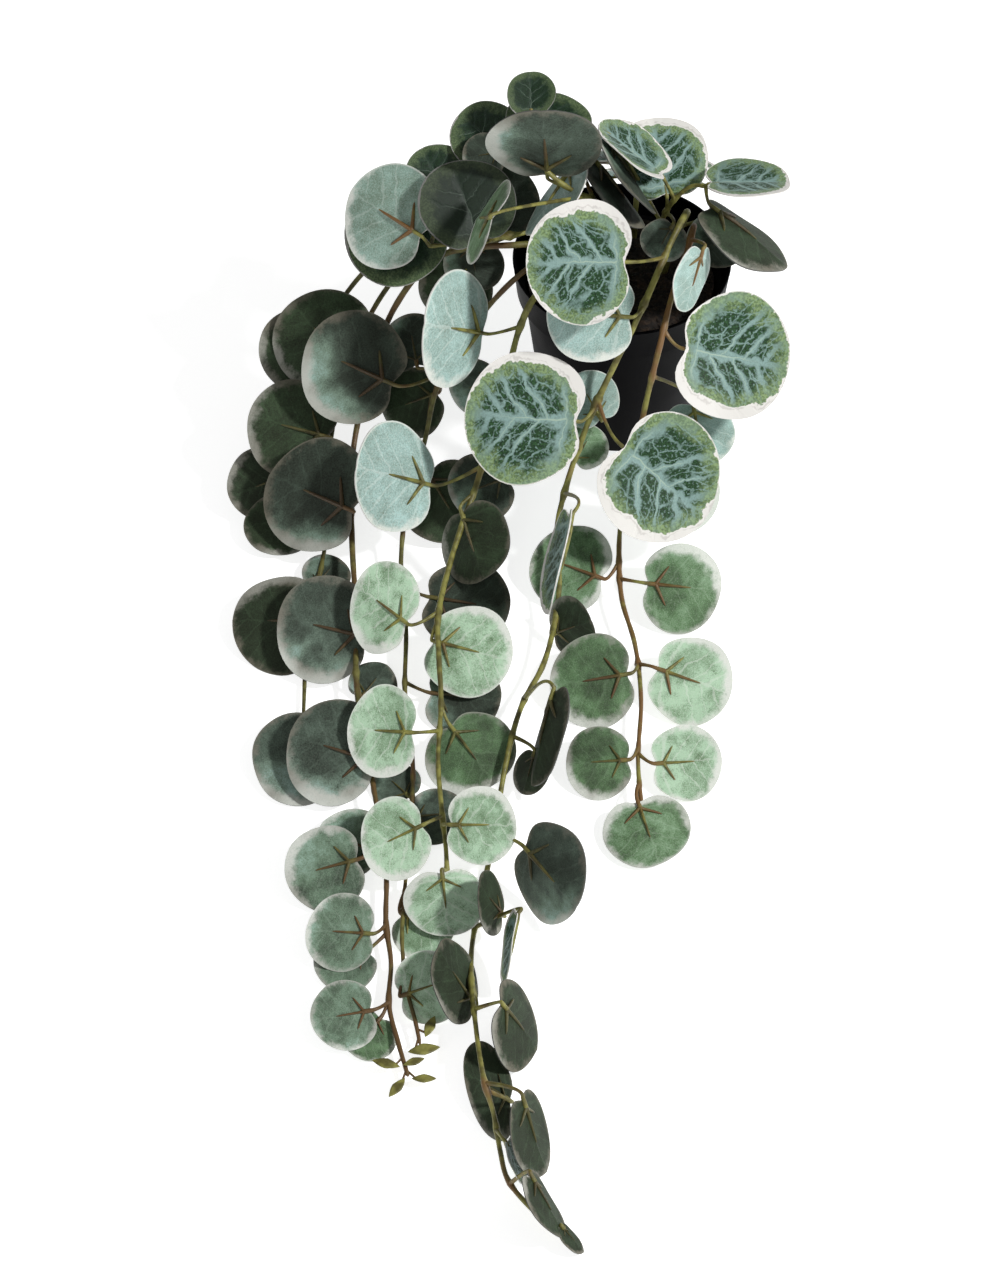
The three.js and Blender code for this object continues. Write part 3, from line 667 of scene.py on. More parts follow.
@dataclass(frozen=True)
class UpperFinish(LeafFinish):
    """The printed upper face: dark cells in a silver net, green towards a broad white margin, with painted shade that
    darkens leaves of low tone.
    """

    sheen: float = 0.3
    relief: float = 0.35
    relief_depth: float = 0.6 * MM
    vein_width: float = 0.024
    roughness: tuple[float, float] = (0.48, 0.62)
    dark: tuple = colour(0.04, 0.15, 0.07)
    deep: tuple = colour(0.17, 0.32, 0.17)
    silver: tuple = colour(0.53, 0.64, 0.62)
    fresh: tuple = colour(0.52, 0.61, 0.42)
    cream: tuple = colour(0.66, 0.74, 0.66)
    white: tuple = colour(0.88, 0.87, 0.85)
    smudge: tuple = colour(0.72, 0.70, 0.68)
    # The colour of the painted shade.
    painted_shade: tuple = colour(0.045, 0.08, 0.045)

    def paint(self, graph: Graph) -> tuple[Signal, Signal, Signal]:
        """Adds the print, its soft gloss and the relief of its veins."""
        place, veins, net, ridge = self.blade(graph)
        out, broad, _ = graph.parts(graph.attribute("edge"))
        light, silver, _ = graph.parts(graph.attribute("shade_and_tint"))
        fine = graph.noise(place, 80.0, 3, 0.65)
        blotch = graph.noise(place, 8.0, 4, 0.65)
        veins = veins * graph.ease(out, 0.55, 0.95, 1, 0.5)
        threads = net * graph.ease(blotch, 0.35, 0.6, 0.45, 0.95)
        specks = graph.ease(graph.noise(place, 44.0), 0.53, 0.68, 0, 0.65)
        lines = graph.most(veins, graph.most(threads, specks))
        shown = lines * graph.ease(silver, 0.0, 1.0, 0.08, 1) * graph.ease(fine, 0.25, 0.65, 0.7, 1)
        green = graph.mix(graph.ease(fine, 0.38, 0.66), self.dark, self.deep)
        outward = out + broad + (blotch * 0.8 - 0.4)
        mottle = graph.ease(graph.noise(place, 55.0), 0.42, 0.6, 0.5, 1)
        body = graph.mix(graph.ease(outward, 0.62, 0.95) * mottle, green, self.fresh)
        body = graph.mix(shown * graph.ease(outward, 0.75, 1.0, 1, 0.35), body, self.silver)
        body = graph.mix(ridge * 0.7, body, self.cream)
        lobes = graph.noise(place, 17.0, 3, 0.6) * 0.22 - 0.11
        lobes = lobes + graph.ease(graph.noise(place, 3.5, 1, 0.4), 0.5, 0.75, 0, 0.12)
        margin = graph.ease(silver, 0.3, 1.0, 0.3, 1)
        rim = out + broad * margin + lobes * margin
        white = graph.most(graph.ease(rim, 0.985, 1.005), graph.ease(out, 0.975, 0.99, 0, 0.8))
        smear = graph.ease(graph.noise(place, 14.0) * 0.12 + abs(rim - 1.06), 0.055, 0.09, 0.55, 0)
        body = graph.mix(white, body, graph.mix(smear, self.white, self.smudge))
        # Painted shade: a leaf of low tone is darkened towards the shade green.
        body = graph.mix(graph.ease(light, 0.0, 0.7, 0.9, 0.0), body, self.painted_shade)
        return body, graph.ease(fine, 0.2, 0.8, *self.roughness), veins * -0.6 + fine * 0.25


@dataclass(frozen=True)
class UnderFinish(LeafFinish):
    """The pale underside: fine felt in mint to blue-green, with faint veins, a clouded white margin, and painted light
    and shade.

    Its colours run from painted shade colours over mid to high as the tone goes from 0 over middle_tone to 1; a low
    tone is partly painted shade.
    """

    sheen: float = 0.25
    relief: float = 0.25
    vein_width: float = 0.010
    roughness: tuple[float, float] = (0.62, 0.8)
    middle_tone: float = 0.3
    # The low colours are painted shade.
    shade_green: tuple = colour(0.105, 0.118, 0.062)
    shade_teal: tuple = colour(0.115, 0.13, 0.10)
    mid_green: tuple = colour(0.37, 0.49, 0.34)
    mid_teal: tuple = colour(0.43, 0.50, 0.45)
    high_green: tuple = colour(0.68, 0.80, 0.67)
    high_teal: tuple = colour(0.67, 0.79, 0.77)
    # A margin white darkened by painted shade.
    shaded_margin_white: tuple = colour(0.42, 0.405, 0.355)
    white: tuple = colour(0.86, 0.87, 0.84)

    def paint(self, graph: Graph) -> tuple[Signal, Signal, Signal]:
        """Adds the felt's colours and its fine nap."""
        place, raised, _, _ = self.blade(graph)
        out, broad, toward = graph.parts(graph.attribute("edge"))
        light, hue, _ = graph.parts(graph.attribute("shade_and_tint"))
        # Veins and flecks fade where the tone, partly painted shade, is low.
        veins = raised * graph.ease(light, 0.0, 0.7, 0.3, 1)
        fine = graph.noise(place, 70.0, 4, 0.75)
        cloud = graph.noise(place, 7.0, 4, 0.6)
        sway = graph.noise(place, 2.4, 3)
        # Painted light: the side of the blade towards its broad margin is painted lighter, as if lit.
        lit = graph.ease(sway * 0.9 + toward, 0.52, 1.02)
        takes_light = graph.most(graph.ease(hue, 0.3, 0.7), graph.ease(light, 0.05, 0.15))
        blue = hue * graph.ease(light, 0.2, 0.6)
        drift = (fine - 0.5) * 2.2 + ((cloud - 0.5) * (blue * -1.1 + 2.0) + 1.0)
        # Painted shade: broad random patches are painted darker.
        shade_patches = graph.ease(sway, 0.38, 0.58, -0.4, 0.05) * (blue * -0.6 + 1.0)
        # Painted light on that side, strongest on darker blue leaves.
        painted_light = lit * takes_light * graph.ease(light, 0.0, 0.6, 0.5, 0.1) * graph.ease(hue, 0.2, 0.7, 0.3, 1)
        tone = ((light + 0.03) * (shade_patches + 1.0) + painted_light) * drift
        tone = tone + (fine - 0.5) * 0.1 + veins * 0.07
        # The felt runs from its painted shade colours to its lit ones as the tone rises.
        low = graph.mix(hue, self.shade_green, self.shade_teal)
        mid = graph.mix(hue, self.mid_green, self.mid_teal)
        high = graph.mix(hue, self.high_green, self.high_teal)
        felt = graph.mix(tone / self.middle_tone, low, mid)
        felt = graph.mix((tone - self.middle_tone) / (1 - self.middle_tone), felt, high)
        flecks = graph.ease(graph.noise(place, 95.0, 2, 0.6), 0.5, 0.72, 0, 0.45)
        felt = graph.mix(graph.most(flecks, veins * 0.35) * light, felt, self.white)
        rim = blue * -0.13 + (out + broad + (graph.noise(place, 6.0, 5, 0.7) * 0.7 - 0.35))
        edge = graph.ease(rim, 0.84, 1.1) * graph.ease(out, 0.5, 0.85) * graph.ease(fine, 0.3, 0.6, 0.75, 1)
        # Painted shade on the margin: darker where the tone is low, lighter on the painted lit side.
        brightness = lit * (takes_light * 0.1 + 0.17) + light
        pale = graph.mix(graph.ease(brightness, 0.0, 0.5), self.shaded_margin_white, self.white)
        felt = graph.mix(graph.most(edge, graph.ease(out, 0.955, 0.985, 0, 0.7)), felt, pale)
        return felt, graph.ease(fine, 0.2, 0.8, *self.roughness), raised * 0.5 + fine


@dataclass(frozen=True)
class CaneFinish(Finish):
    """Stems, stalks and ribs: moulded, olive with red-brown stretches and fine lengthwise lumps, darkened by painted
    shade where their light is low.
    """

    roughness: tuple[float, float] = (0.42, 0.62)
    olive: tuple = colour(0.52, 0.51, 0.25)
    dark_olive: tuple = colour(0.34, 0.32, 0.14)
    brown: tuple = colour(0.44, 0.32, 0.17)
    shadow: tuple = colour(0.15, 0.13, 0.06)

    def paint(self, graph: Graph) -> tuple[Signal, Signal, Signal]:
        """Adds the drifting colour and the lumps."""
        place = graph.place()
        light, _, warmth = graph.parts(graph.attribute("shade_and_tint"))
        drift = graph.noise(place, 45.0)
        grain = graph.noise(place, 900.0, 3, 0.6)
        green = graph.mix(graph.ease(graph.noise(place, 160.0), 0.35, 0.65), self.dark_olive, self.olive)
        body = graph.mix(graph.ease(warmth * 0.6 - 0.3 + drift, 0.42, 0.62), green, self.brown)
        # Painted shade: darker towards the shadow colour where the light is low.
        body = graph.mix(graph.ease(light, 0.0, 0.5, 0.75, 0), body, self.shadow)
        return body, graph.ease(grain, 0.3, 0.7, *self.roughness), grain


@dataclass(frozen=True)
class PotFinish(Finish):
    """Black moulded plastic with a fine satin grain and a faint violet cast."""

    sheen: float = 0.03
    relief: float = 0.18
    relief_depth: float = 0.3 * MM
    roughness: tuple[float, float] = (0.42, 0.54)
    black: tuple = colour(0.012, 0.011, 0.015)
    worn: tuple = colour(0.045, 0.042, 0.052)

    def paint(self, graph: Graph) -> tuple[Signal, Signal, Signal]:
        """Adds the plastic's drifting shade and its grain."""
        place = graph.place()
        grain = graph.noise(place, 1500.0, 3, 0.6)
        drift = graph.noise(place, 22.0, 3, 0.6)
        body = graph.mix(graph.ease(drift, 0.35, 0.75), self.black, self.worn)
        return body, graph.ease(drift, 0.3, 0.7, *self.roughness), grain


@dataclass(frozen=True)
class SoilFinish(Finish):
    """Loose dark compost with paler crumbs."""

    relief: float = 0.8
    relief_depth: float = 1.5 * MM
    roughness: float = 0.95
    dark: tuple = colour(0.09, 0.07, 0.055)
    crumb: tuple = colour(0.24, 0.18, 0.13)

    def paint(self, graph: Graph) -> tuple[Signal, float, Signal]:
        """Adds the crumbs and their relief."""
        place = graph.place()
        lumps = graph.noise(place, 260.0, 4, 0.65)
        bits = graph.signal(graph.add("TexVoronoi", {"Vector": place, "Scale": 330.0}), "Distance")
        return graph.mix(graph.ease(lumps, 0.4, 0.7), self.dark, self.crumb), self.roughness, lumps + bits


@dataclass
class Blade:
    """A leaf blade of unit width with the three moulded ribs of its underside, shaped anew for each leaf."""

    segments: int = 60
    rings: int = 11
    thickness: float = 0.011
    length_share: float = 0.92
    notch: float = 0.23
    notch_spread: float = 0.33
    fold: float = 6.0
    crown_in: float = 0.09
    rib_radius: float = 0.021
    rib_end: float = 0.5
    rib_sides: int = 8
    rib_cuts: int = 9
    rib_round: float = 0.75
    rib_sink: float = 0.7
    middle_rib: float = 0.38
    side_rib: float = 0.25
    rib_spread: float = 60.0
    uneven: float = 0.018
    ripple: float = 0.007
    crease: float = 0.03
    groove: float = 0.006
    groove_width: float = 0.02
    margin_focus: float = 2.4
    model: bpy.types.Object = field(default=None, init=False)

    def build(self, cane: bpy.types.Material, upper: bpy.types.Material, under: bpy.types.Material) -> None:
        """Models the blade and its ribs once.

        Args:
            cane: Finish of the ribs.
            upper: Finish of the upper face.
            under: Finish of the underside.
        """
        deselect()
        bpy.ops.mesh.primitive_circle_add(vertices=self.segments, radius=0.5, fill_type="NGON")
        disc = bpy.context.object
        bpy.ops.object.mode_set(mode="EDIT")
        bpy.ops.mesh.select_all(action="SELECT")
        for _ in range(self.rings):
            bpy.ops.mesh.inset(thickness=0.5 / (self.rings + 1), use_even_offset=False)
        bpy.ops.mesh.poke()
        bpy.ops.object.mode_set(mode="OBJECT")
        bpy.ops.object.modifier_add(type="SOLIDIFY")
        disc.modifiers[0].thickness = self.thickness
        disc.modifiers[0].offset = 0
        bpy.ops.object.modifier_apply(modifier=disc.modifiers[0].name)
        for material in (cane, upper, under):
            disc.data.materials.append(material)
        for face in disc.data.polygons:
            face.material_index = 2 if face.normal.z < -0.5 else 1
        mark = disc.data.attributes.new("rib", "FLOAT", "POINT")
        mark.data.foreach_set("value", np.zeros(len(disc.data.vertices)))
        ribs = [
            self._rib(0, self.middle_rib, cane),
            self._rib(self.rib_spread, self.side_rib, cane),
            self._rib(-self.rib_spread, self.side_rib, cane),
        ]
        activate(disc, *ribs)
        bpy.ops.object.join()
        disc.name = "blade model"
        self.model = disc

    def notch_line(self) -> float:
        """Where the notch lies along the blade, as a share of its width."""
        return -0.5 * (1 - self.notch) * self.length_share

    def _rib(self, heading: float, length: float, cane: bpy.types.Material) -> bpy.types.Object:
        """One tapering rib that lies on the underside, from where the ribs meet."""
        deselect()
        turn = Matrix.Rotation(math.radians(-heading), 4, "Z") @ Matrix.Rotation(math.radians(-90), 4, "X")
        bpy.ops.mesh.primitive_cone_add(
            vertices=self.rib_sides, radius1=self.rib_radius, radius2=self.rib_radius * self.rib_end, depth=length
        )
        rib = bpy.context.object
        bpy.ops.object.mode_set(mode="EDIT")
        for cut in range(1, self.rib_cuts):
            bpy.ops.mesh.select_all(action="SELECT")
            height = length * (cut / self.rib_cuts - 0.5)
            bpy.ops.mesh.bisect(plane_co=(0, 0, height), plane_no=(0, 0, 1))
        bpy.ops.object.mode_set(mode="OBJECT")
        points = coordinates(rib.data)
        share = points[:, 2] / length + 0.5
        swell = np.sqrt(1 - self.rib_round * np.clip(share, 0, 1) ** 10)
        points[:, :2] *= swell[:, None]
        points[:, 2] += length / 2
        placed = points @ np.array(turn.to_3x3()).T
        placed[:, 1] += self.notch_line() + self.crown_in
        local = self.rib_radius * (1 + (self.rib_end - 1) * share) * swell
        placed[:, 2] -= self.thickness / 2 + self.rib_sink * local
        move_to(rib.data, placed)
        rib.data.materials.append(cane)
        mark = rib.data.attributes.new("rib", "FLOAT", "POINT")
        mark.data.foreach_set("value", np.ones(len(rib.data.vertices)))
        return rib

    def copy(self, width: float, shape: "LeafShape", tone: ToneAndShade) -> bpy.types.Object:
        """A copy of the blade with its own mesh, in its own frame, in metres.

        Args:
            width: Width of the leaf in metres.
            shape: What sets this leaf apart.
            tone: Its tone, which sets its tint and its painted shade.

        Returns:
            The new object.
        """
        mesh = self.model.data.copy()
        piece = bpy.data.objects.new("leaf", mesh)
        bpy.context.scene.collection.objects.link(piece)
        points = coordinates(mesh)
        ribs = np.empty(len(points))
        mesh.attributes["rib"].data.foreach_get("value", ribs)
        shaped, edge = shape.bend(points, ribs > 0.5, self)
        move_to(mesh, shaped * width)
        write_attribute(mesh, "leaf", np.column_stack([shaped[:, :2], np.full(len(points), shape.seed)]))
        write_attribute(mesh, "edge", edge)
        # The tone's light, which is partly painted shade, varies a little from leaf to leaf.
        light, hue = tone.value
        light *= 1 + shape.drift
        write_attribute(mesh, "shade_and_tint", np.tile((light, hue, shape.warmth), (len(points), 1)))
        mesh.attributes.remove(mesh.attributes["rib"])
        return piece


@dataclass
class LeafShape:
    """How one leaf differs from the next: its outline, its curl, its waves and where its white margin is broad, which
    is also the side on which its underside is painted lit.
    """

    seed: float
    drift: float
    warmth: float
    curl: float
    wave: float
    waves: int
    phase: float
    lopsided: float
    angles: tuple[float, float]
    margin_heading: float
    margin_width: float

    @classmethod
    def draw(cls, dice: random.Random, warmth: float, plan: LeafPlan) -> "LeafShape":
        """Draws a shape.

        Args:
            dice: Seeded source of the draw.
            warmth: How red-brown the ribs are.
            plan: The leaf's plan, which may say where the margin is broad.

        Returns:
            The shape.
        """
        return cls(
            seed=dice.uniform(0, 10),
            drift=dice.uniform(-0.12, 0.12),
            warmth=min(max(warmth + dice.uniform(-0.25, 0.3), 0), 1),
            curl=dice.uniform(-0.03, 0.07),
            wave=dice.uniform(0.004, 0.013),
            waves=dice.choice((3, 4, 5)),
            phase=dice.uniform(0, math.tau),
            lopsided=dice.uniform(-0.035, 0.035),
            angles=(dice.uniform(0, math.tau), dice.uniform(0, math.tau)),
            # Left unplanned, the broad margin, and with it the painted light, faces the lower left, within 80 degrees
            # either way.
            margin_heading=plan.aside(dice.uniform(135, 295) if plan.margin is None else plan.margin),
            margin_width=dice.uniform(0.06, 0.18) + (plan.margin is not None) * 0.12,
        )

    def bend(self, points: np.ndarray, ribs: np.ndarray, blade: Blade) -> tuple[np.ndarray, np.ndarray]:
        """Shapes a unit disc and its ribs into this leaf.

        Args:
            points: Vertices of the disc and the ribs.
            ribs: Which vertices belong to ribs.
            blade: The blade's measures.

        Returns:
            The shaped points, and for each how far out it lies, how much the margin's breadth adds there, and how
            far it lies toward the broad margin.
        """
        x, y, z = points.T
        angle = np.arctan2(x, y)
        out = np.clip(2 * np.hypot(x, y), 0, 1)
        from_notch = np.pi - np.abs(angle)
        outline = 1 - blade.notch * np.exp(-((from_notch / blade.notch_spread) ** 2))
        first, second = self.angles
        outline *= 1 + blade.uneven * np.sin(2 * angle + second) + blade.uneven * np.sin(3 * angle + first)
        outline *= 0.985 + blade.ripple * np.sin(5 * angle + second)
        outline = 1 + (outline - 1) * out**2
        shaped = np.column_stack([x * outline, y * outline * blade.length_share, z])
        shaped[:, 1] += self.lopsided * shaped[:, 0]
        shaped[ribs] = points[ribs]
        side, along = shaped[:, 0], shaped[:, 1]
        reach = np.clip(2 * np.hypot(side, along / blade.length_share), 0, 1.1)
        rise = (np.sqrt(side**2 + blade.crease**2) - blade.crease) * math.tan(math.radians(blade.fold))
        rise += self.curl * (reach**2 - 0.3) * 0.5
        rise += self.wave * reach**3 * np.sin(self.waves * angle + self.phase)
        rise -= blade.groove * np.exp(-((side / blade.groove_width) ** 2))
        shaped[:, 2] += rise
        facing = np.cos(angle - self.margin_heading)
        broad = out * self.margin_width * (0.5 + 0.5 * facing) ** blade.margin_focus
        # How far each point lies toward the broad margin, the side on which the underside is painted lit.
        toward = side * math.sin(self.margin_heading) + along * math.cos(self.margin_heading)
        return shaped, np.column_stack([out, broad, toward])


@dataclass(frozen=True)
class TipLeaf:
    """A small pointed leaf at the end of a stem, on a short stalk. Its measures are shares of its length."""

    width: float = 0.42
    depth: float = 0.16
    point: float = 0.35
    curl: float = 0.12
    fold: float = 0.25
    foot: float = 0.3
    stalk_radius: float = 0.6 * MM
    stalk_steps: int = 3
    # Its light, hue and warmth; the light sets its painted shade.
    tone: tuple[float, float, float] = (0.5, 0, -0.2)

    def build(self, line: list[Vector], row: tuple, materials: Sequence) -> tuple[bpy.types.Object, tuple]:
        """Builds the leaf.

        Args:
            line: The stem's line.
            row: The tip leaf's pixel across and down, its height, its length and its heading.
            materials: The blade's materials.

        Returns:
            The leaf, and its stalk as points and radii.
        """
        across, down, height, length, heading = row
        middle = VIEW.spot(across, down, height)
        turn = Matrix.Rotation(math.radians(heading), 3, "Z")
        deselect()
        bpy.ops.mesh.primitive_uv_sphere_add(segments=16, ring_count=12, radius=0.5)
        leaf = bpy.context.object
        points = coordinates(leaf.data)
        along = points[:, 2] * 2
        slim = (1 - np.abs(along)) ** self.point
        shaped = np.column_stack([along / 2, points[:, 0] * self.width * slim, points[:, 1] * self.depth * slim])
        shaped[:, 2] += self.curl * (shaped[:, 0] ** 2) + self.fold * np.abs(shaped[:, 1])
        move_to(leaf.data, shaped @ np.array(turn).T * length * MM + np.array(middle))
        write_attribute(leaf.data, "shade_and_tint", np.tile(self.tone, (len(points), 1)))
        for material in materials:
            leaf.data.materials.append(material)
        base = middle - turn @ Vector((1, 0, 0)) * self.foot * length * MM
        gaps = [(point - base).length for point in line]
        joint = line[max(gaps.index(min(gaps)) - self.stalk_steps, 0)]
        return leaf, ([joint, joint.lerp(base, 0.5), base], [self.stalk_radius] * 3)


@dataclass
class LeafyStem:
    """One stem with its stalks, ribs and leaves, as one piece."""

    plan: StemPlan
    blade: Blade
    cane: bpy.types.Material
    seed: int
    soil_crown: float = 95.0
    root_levels: tuple[float, ...] = (-24.0, -12.0, 1.0)
    tip_share: float = 0.6
    stalk_radius: float = 1.0 * MM
    stalk_steps: int = 12
    stalk_depth: float = 0.02
    slant: float = 0.55
    lead: float = 13 * MM
    end_share: int = 8
    lump: float = 0.09
    lump_every: int = 6
    fuller: float = 1.15
    node_swell: float = 0.35
    node_reach: float = 2.2
    tip_leaf: TipLeaf = TipLeaf()
    rest_gap: float = 0.3
    floor_gap: float = 0.25 * MM

    def build(self) -> bpy.types.Object:
        """Builds the stem.

        Returns:
            The finished piece.
        """
        dice = random.Random(self.seed)
        x, y = self.plan.root
        knots = [Vector((x, y, self.soil_crown + level)) * MM for level in self.root_levels]
        knots += [VIEW.spot(*place) for place in self.plan.route]
        line = SoftCurve(knots).points()
        leaves, canes, nodes = [], [], []
        for plan in (LeafPlan(*row) for row in self.plan.leaves):
            frame_of = self._leaf_frame(plan)
            shape = LeafShape.draw(dice, self.plan.warmth, plan)
            leaf = self.blade.copy(plan.width * MM, shape, TONES[plan.tone])
            leaf.data.transform(frame_of)
            leaves.append(leaf)
            stalk, joint = self._stalk(line, frame_of, plan.width * MM)
            canes.append(stalk)
            nodes.append(joint)
        for row in self.plan.tips:
            leaf, stalk = self.tip_leaf.build(line, row, self.blade.model.data.materials)
            leaves.append(leaf)
            canes.append(stalk)
        canes.append(self._stem(line, nodes, dice))
        tubes = self._tubes(canes)
        activate(tubes, *leaves)
        bpy.ops.object.join()
        piece = bpy.context.object
        piece.name = piece.data.name = self.plan.name + "_foliage"
        points = coordinates(piece.data)
        points[:, 2] = np.maximum(points[:, 2], self.floor_gap)
        move_to(piece.data, points)
        activate(piece)
        bpy.ops.object.shade_smooth_by_angle(angle=math.radians(60))
        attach(piece, BODY)
        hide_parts(self.plan.name)
        return piece

    def _leaf_frame(self, plan: LeafPlan) -> Matrix:
        """Where a leaf stands.

        Args:
            plan: The leaf's plan.

        Returns:
            The leaf's frame, x across the blade, y to its tip and z out of its upper face.
        """
        heading, turn, turn_heading = map(math.radians, (plan.heading, plan.turn, plan.turn_heading))
        axis = VIEW.toward(math.cos(heading), math.sin(heading), 0)
        level = math.sin(turn)
        facing = VIEW.toward(level * math.cos(turn_heading), level * math.sin(turn_heading), math.cos(turn))
        axis = (axis - facing * axis.dot(facing)).normalized()
        normal = facing * plan.face
        side = axis.cross(normal)
        reach = 0.5 * plan.width * math.hypot(axis.z * self.blade.length_share, side.z)
        fold = 0.5 * plan.width * math.tan(math.radians(self.blade.fold)) * max(-normal.z, 0)
        middle = VIEW.spot(plan.across, plan.down, plan.height)
        middle.z = max(middle.z, (reach + fold + self.rest_gap) * MM)
        placed = Matrix.Translation(middle) @ Matrix((side, axis, normal)).transposed().to_4x4()
        if plan.squeeze:
            aside = plan.aside(plan.squeeze[0])
            placed @= Matrix.Scale(plan.squeeze[1], 4, (math.sin(aside), math.cos(aside), 0))
        return placed

    def _stalk(self, line: list[Vector], frame_of: Matrix, width: float) -> tuple[tuple, int]:
        """The stalk of a leaf, from where its ribs meet to the stem.

        Args:
            line: The stem's line.
            frame_of: The leaf's frame.
            width: The leaf's width in metres.

        Returns:
            The stalk as points and radii, and where it grows along the line.
        """
        notch = self.blade.notch_line() * width
        base = frame_of @ Vector((0, notch, 0))
        gaps = [(point - base).length for point in line]
        nearest = gaps.index(min(gaps))
        spacing = (line[1] - line[0]).length
        back = self.slant * gaps[nearest] + max(self.lead - gaps[nearest], 0)
        joint = max(nearest - round(back / spacing), 0)
        if nearest > len(line) - self.end_share:
            joint = len(line) - 1
        inward = frame_of.inverted() @ line[joint]
        below = -self.stalk_depth * width
        crown = Vector((0, notch + self.blade.crown_in * width, below))
        start = Vector((0, notch + below, below))
        reach = (inward - start).length
        bend = 0.12 * reach + 0.25 * max(start.y - inward.y, 0)
        control = Vector((0, start.y - bend, below - 0.1 * reach))
        points = [crown, (crown + start) / 2]
        for t in (step / self.stalk_steps for step in range(self.stalk_steps + 1)):
            points.append(start * (1 - t) ** 2 + control * 2 * t * (1 - t) + inward * t**2)
        last = len(points) - 1
        radii = [self.stalk_radius * (1.25 - 0.35 * math.sin(math.pi * i / last)) for i in range(last + 1)]
        return ([frame_of @ point for point in points], radii), joint

    def _stem(self, line: list[Vector], nodes: list[int], dice: random.Random) -> tuple:
        """The stem itself: thinner to its tip, lumpy, and thicker where stalks grow.

        Args:
            line: The stem's line.
            nodes: Where stalks grow along it.
            dice: Seeded source of the lumps.

        Returns:
            The stem as points and radii.
        """
        places = np.arange(len(line))
        share = places / places[-1]
        radii = self.plan.radius * self.fuller * MM * (1 + (self.tip_share - 1) * share)
        lumps = range(0, len(line) + self.lump_every, self.lump_every)
        radii = radii * (1 + self.lump * np.interp(places, lumps, [dice.uniform(-1, 1) for _ in lumps]))
        for node in nodes:
            radii = radii * (1 + self.node_swell * np.exp(-(((places - node) / self.node_reach) ** 2)))
        return line[::2] + [line[-1]], [*radii[::2], radii[-1] * self.tip_share]

    def _tubes(self, canes: list[tuple]) -> bpy.types.Object:
        """All the stem's round parts, swept as one wire frame and made a mesh.

        Args:
            canes: Each one's points and radii.

        Returns:
            The object.
        """
        deselect()
        bpy.ops.curve.primitive_bezier_curve_add()
        tubes = bpy.context.object
        curve = tubes.data
        curve.splines.clear()
        for points, radii in canes:
            spline = curve.splines.new("POLY")
            spline.points.add(len(points) - 1)
            spline.points.foreach_set("co", [value for point in points for value in (*point, 1)])
            spline.points.foreach_set("radius", [float(radius) for radius in radii])
        curve.dimensions = "3D"
        curve.bevel_depth = 1
        curve.bevel_resolution = 2
        curve.use_fill_caps = True
        activate(tubes)
        bpy.ops.object.convert(target="MESH")
        tubes = bpy.context.object
        tubes.data.materials.clear()
        for material in self.blade.model.data.materials:
            tubes.data.materials.append(material)
        # The stem's light sets the painted shade of its stem and stalks.
        tone = (self.plan.light, 0, self.plan.warmth)
        write_attribute(tubes.data, "shade_and_tint", np.tile(tone, (len(tubes.data.vertices), 1)))
        return tubes


@dataclass
class Pot:
    """The pot: a tapered body, a small step and a deep collar round the mouth, all one thin wall."""

    material: bpy.types.Material
    height: float = 110.0
    rim: float = 60.0
    foot: float = 43.0
    collar: float = 21.0
    taper: float = 2.2
    step: float = 4.0
    wall: float = 1.8
    floor: float = 3.0
    sides: int = 128

    def build(self) -> bpy.types.Object:
        """Builds the pot.

        Returns:
            The finished piece.
        """
        collar = self.height - self.collar
        collar_foot = self.rim - self.taper
        shoulder = collar_foot - self.step
        rings = (
            (self.foot - 1.5, 0.0),
            (self.foot - 0.4, 0.4),
            (self.foot, 1.5),
            ((self.foot + shoulder) / 2, collar / 2),
            (shoulder, collar - 1.2),
            (shoulder + 0.5, collar - 0.5),
            (collar_foot - 0.6, collar),
            (collar_foot, collar + 0.5),
            (self.rim - 0.2, self.height - 1.6),
            (self.rim, self.height - 0.9),
            (self.rim - 0.25, self.height - 0.25),
            (self.rim - 0.9, self.height),
            (self.rim - self.wall + 0.4, self.height - 0.1),
            (self.rim - self.wall, self.height - 0.6),
            (collar_foot - self.wall, collar + self.wall),
            (shoulder - self.wall, collar),
            (self.foot - self.wall, self.floor),
        )
        deselect()
        radius, height = rings[0]
        bpy.ops.mesh.primitive_circle_add(vertices=self.sides, radius=radius * MM, fill_type="NGON")
        pot = bpy.context.object
        bpy.ops.object.mode_set(mode="EDIT")
        bpy.ops.mesh.select_all(action="SELECT")
        bpy.ops.mesh.flip_normals()
        for (last, low), (radius, high) in zip(rings, rings[1:]):
            bpy.ops.mesh.select_all(action="DESELECT")
            bpy.ops.object.mode_set(mode="OBJECT")
            self._select_top(pot, last, low)
            bpy.ops.object.mode_set(mode="EDIT")
            bpy.ops.mesh.extrude_region_move(TRANSFORM_OT_translate={"value": (0, 0, (high - low) * MM)})
            bpy.ops.transform.resize(value=(radius / last, radius / last, 1), center_override=(0, 0, high * MM))
        bpy.ops.mesh.fill()
        bpy.ops.mesh.select_all(action="SELECT")
        bpy.ops.mesh.normals_make_consistent(inside=False)
        bpy.ops.object.mode_set(mode="OBJECT")
        pot.name = pot.data.name = "pot_shell"
        pot.data.materials.append(self.material)
        activate(pot)
        bpy.ops.object.shade_smooth_by_angle(angle=math.radians(25))
        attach(pot, BODY)
        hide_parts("pot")
        return pot

    def _select_top(self, pot: bpy.types.Object, radius: float, height: float) -> None:
        """Selects the open ring of edges at a radius and a height."""
        mesh = pot.data
        x, y, z = coordinates(mesh).T
        at_ring = ((abs(z - height * MM) < 1e-6) & (abs(np.hypot(x, y) - radius * MM) < 1e-6)).tolist()
        for face in mesh.polygons:
            face.select = False
        for edge in mesh.edges:
            edge.select = all(at_ring[index] for index in edge.vertices)
        for point, chosen in zip(mesh.vertices, at_ring):
            point.select = chosen


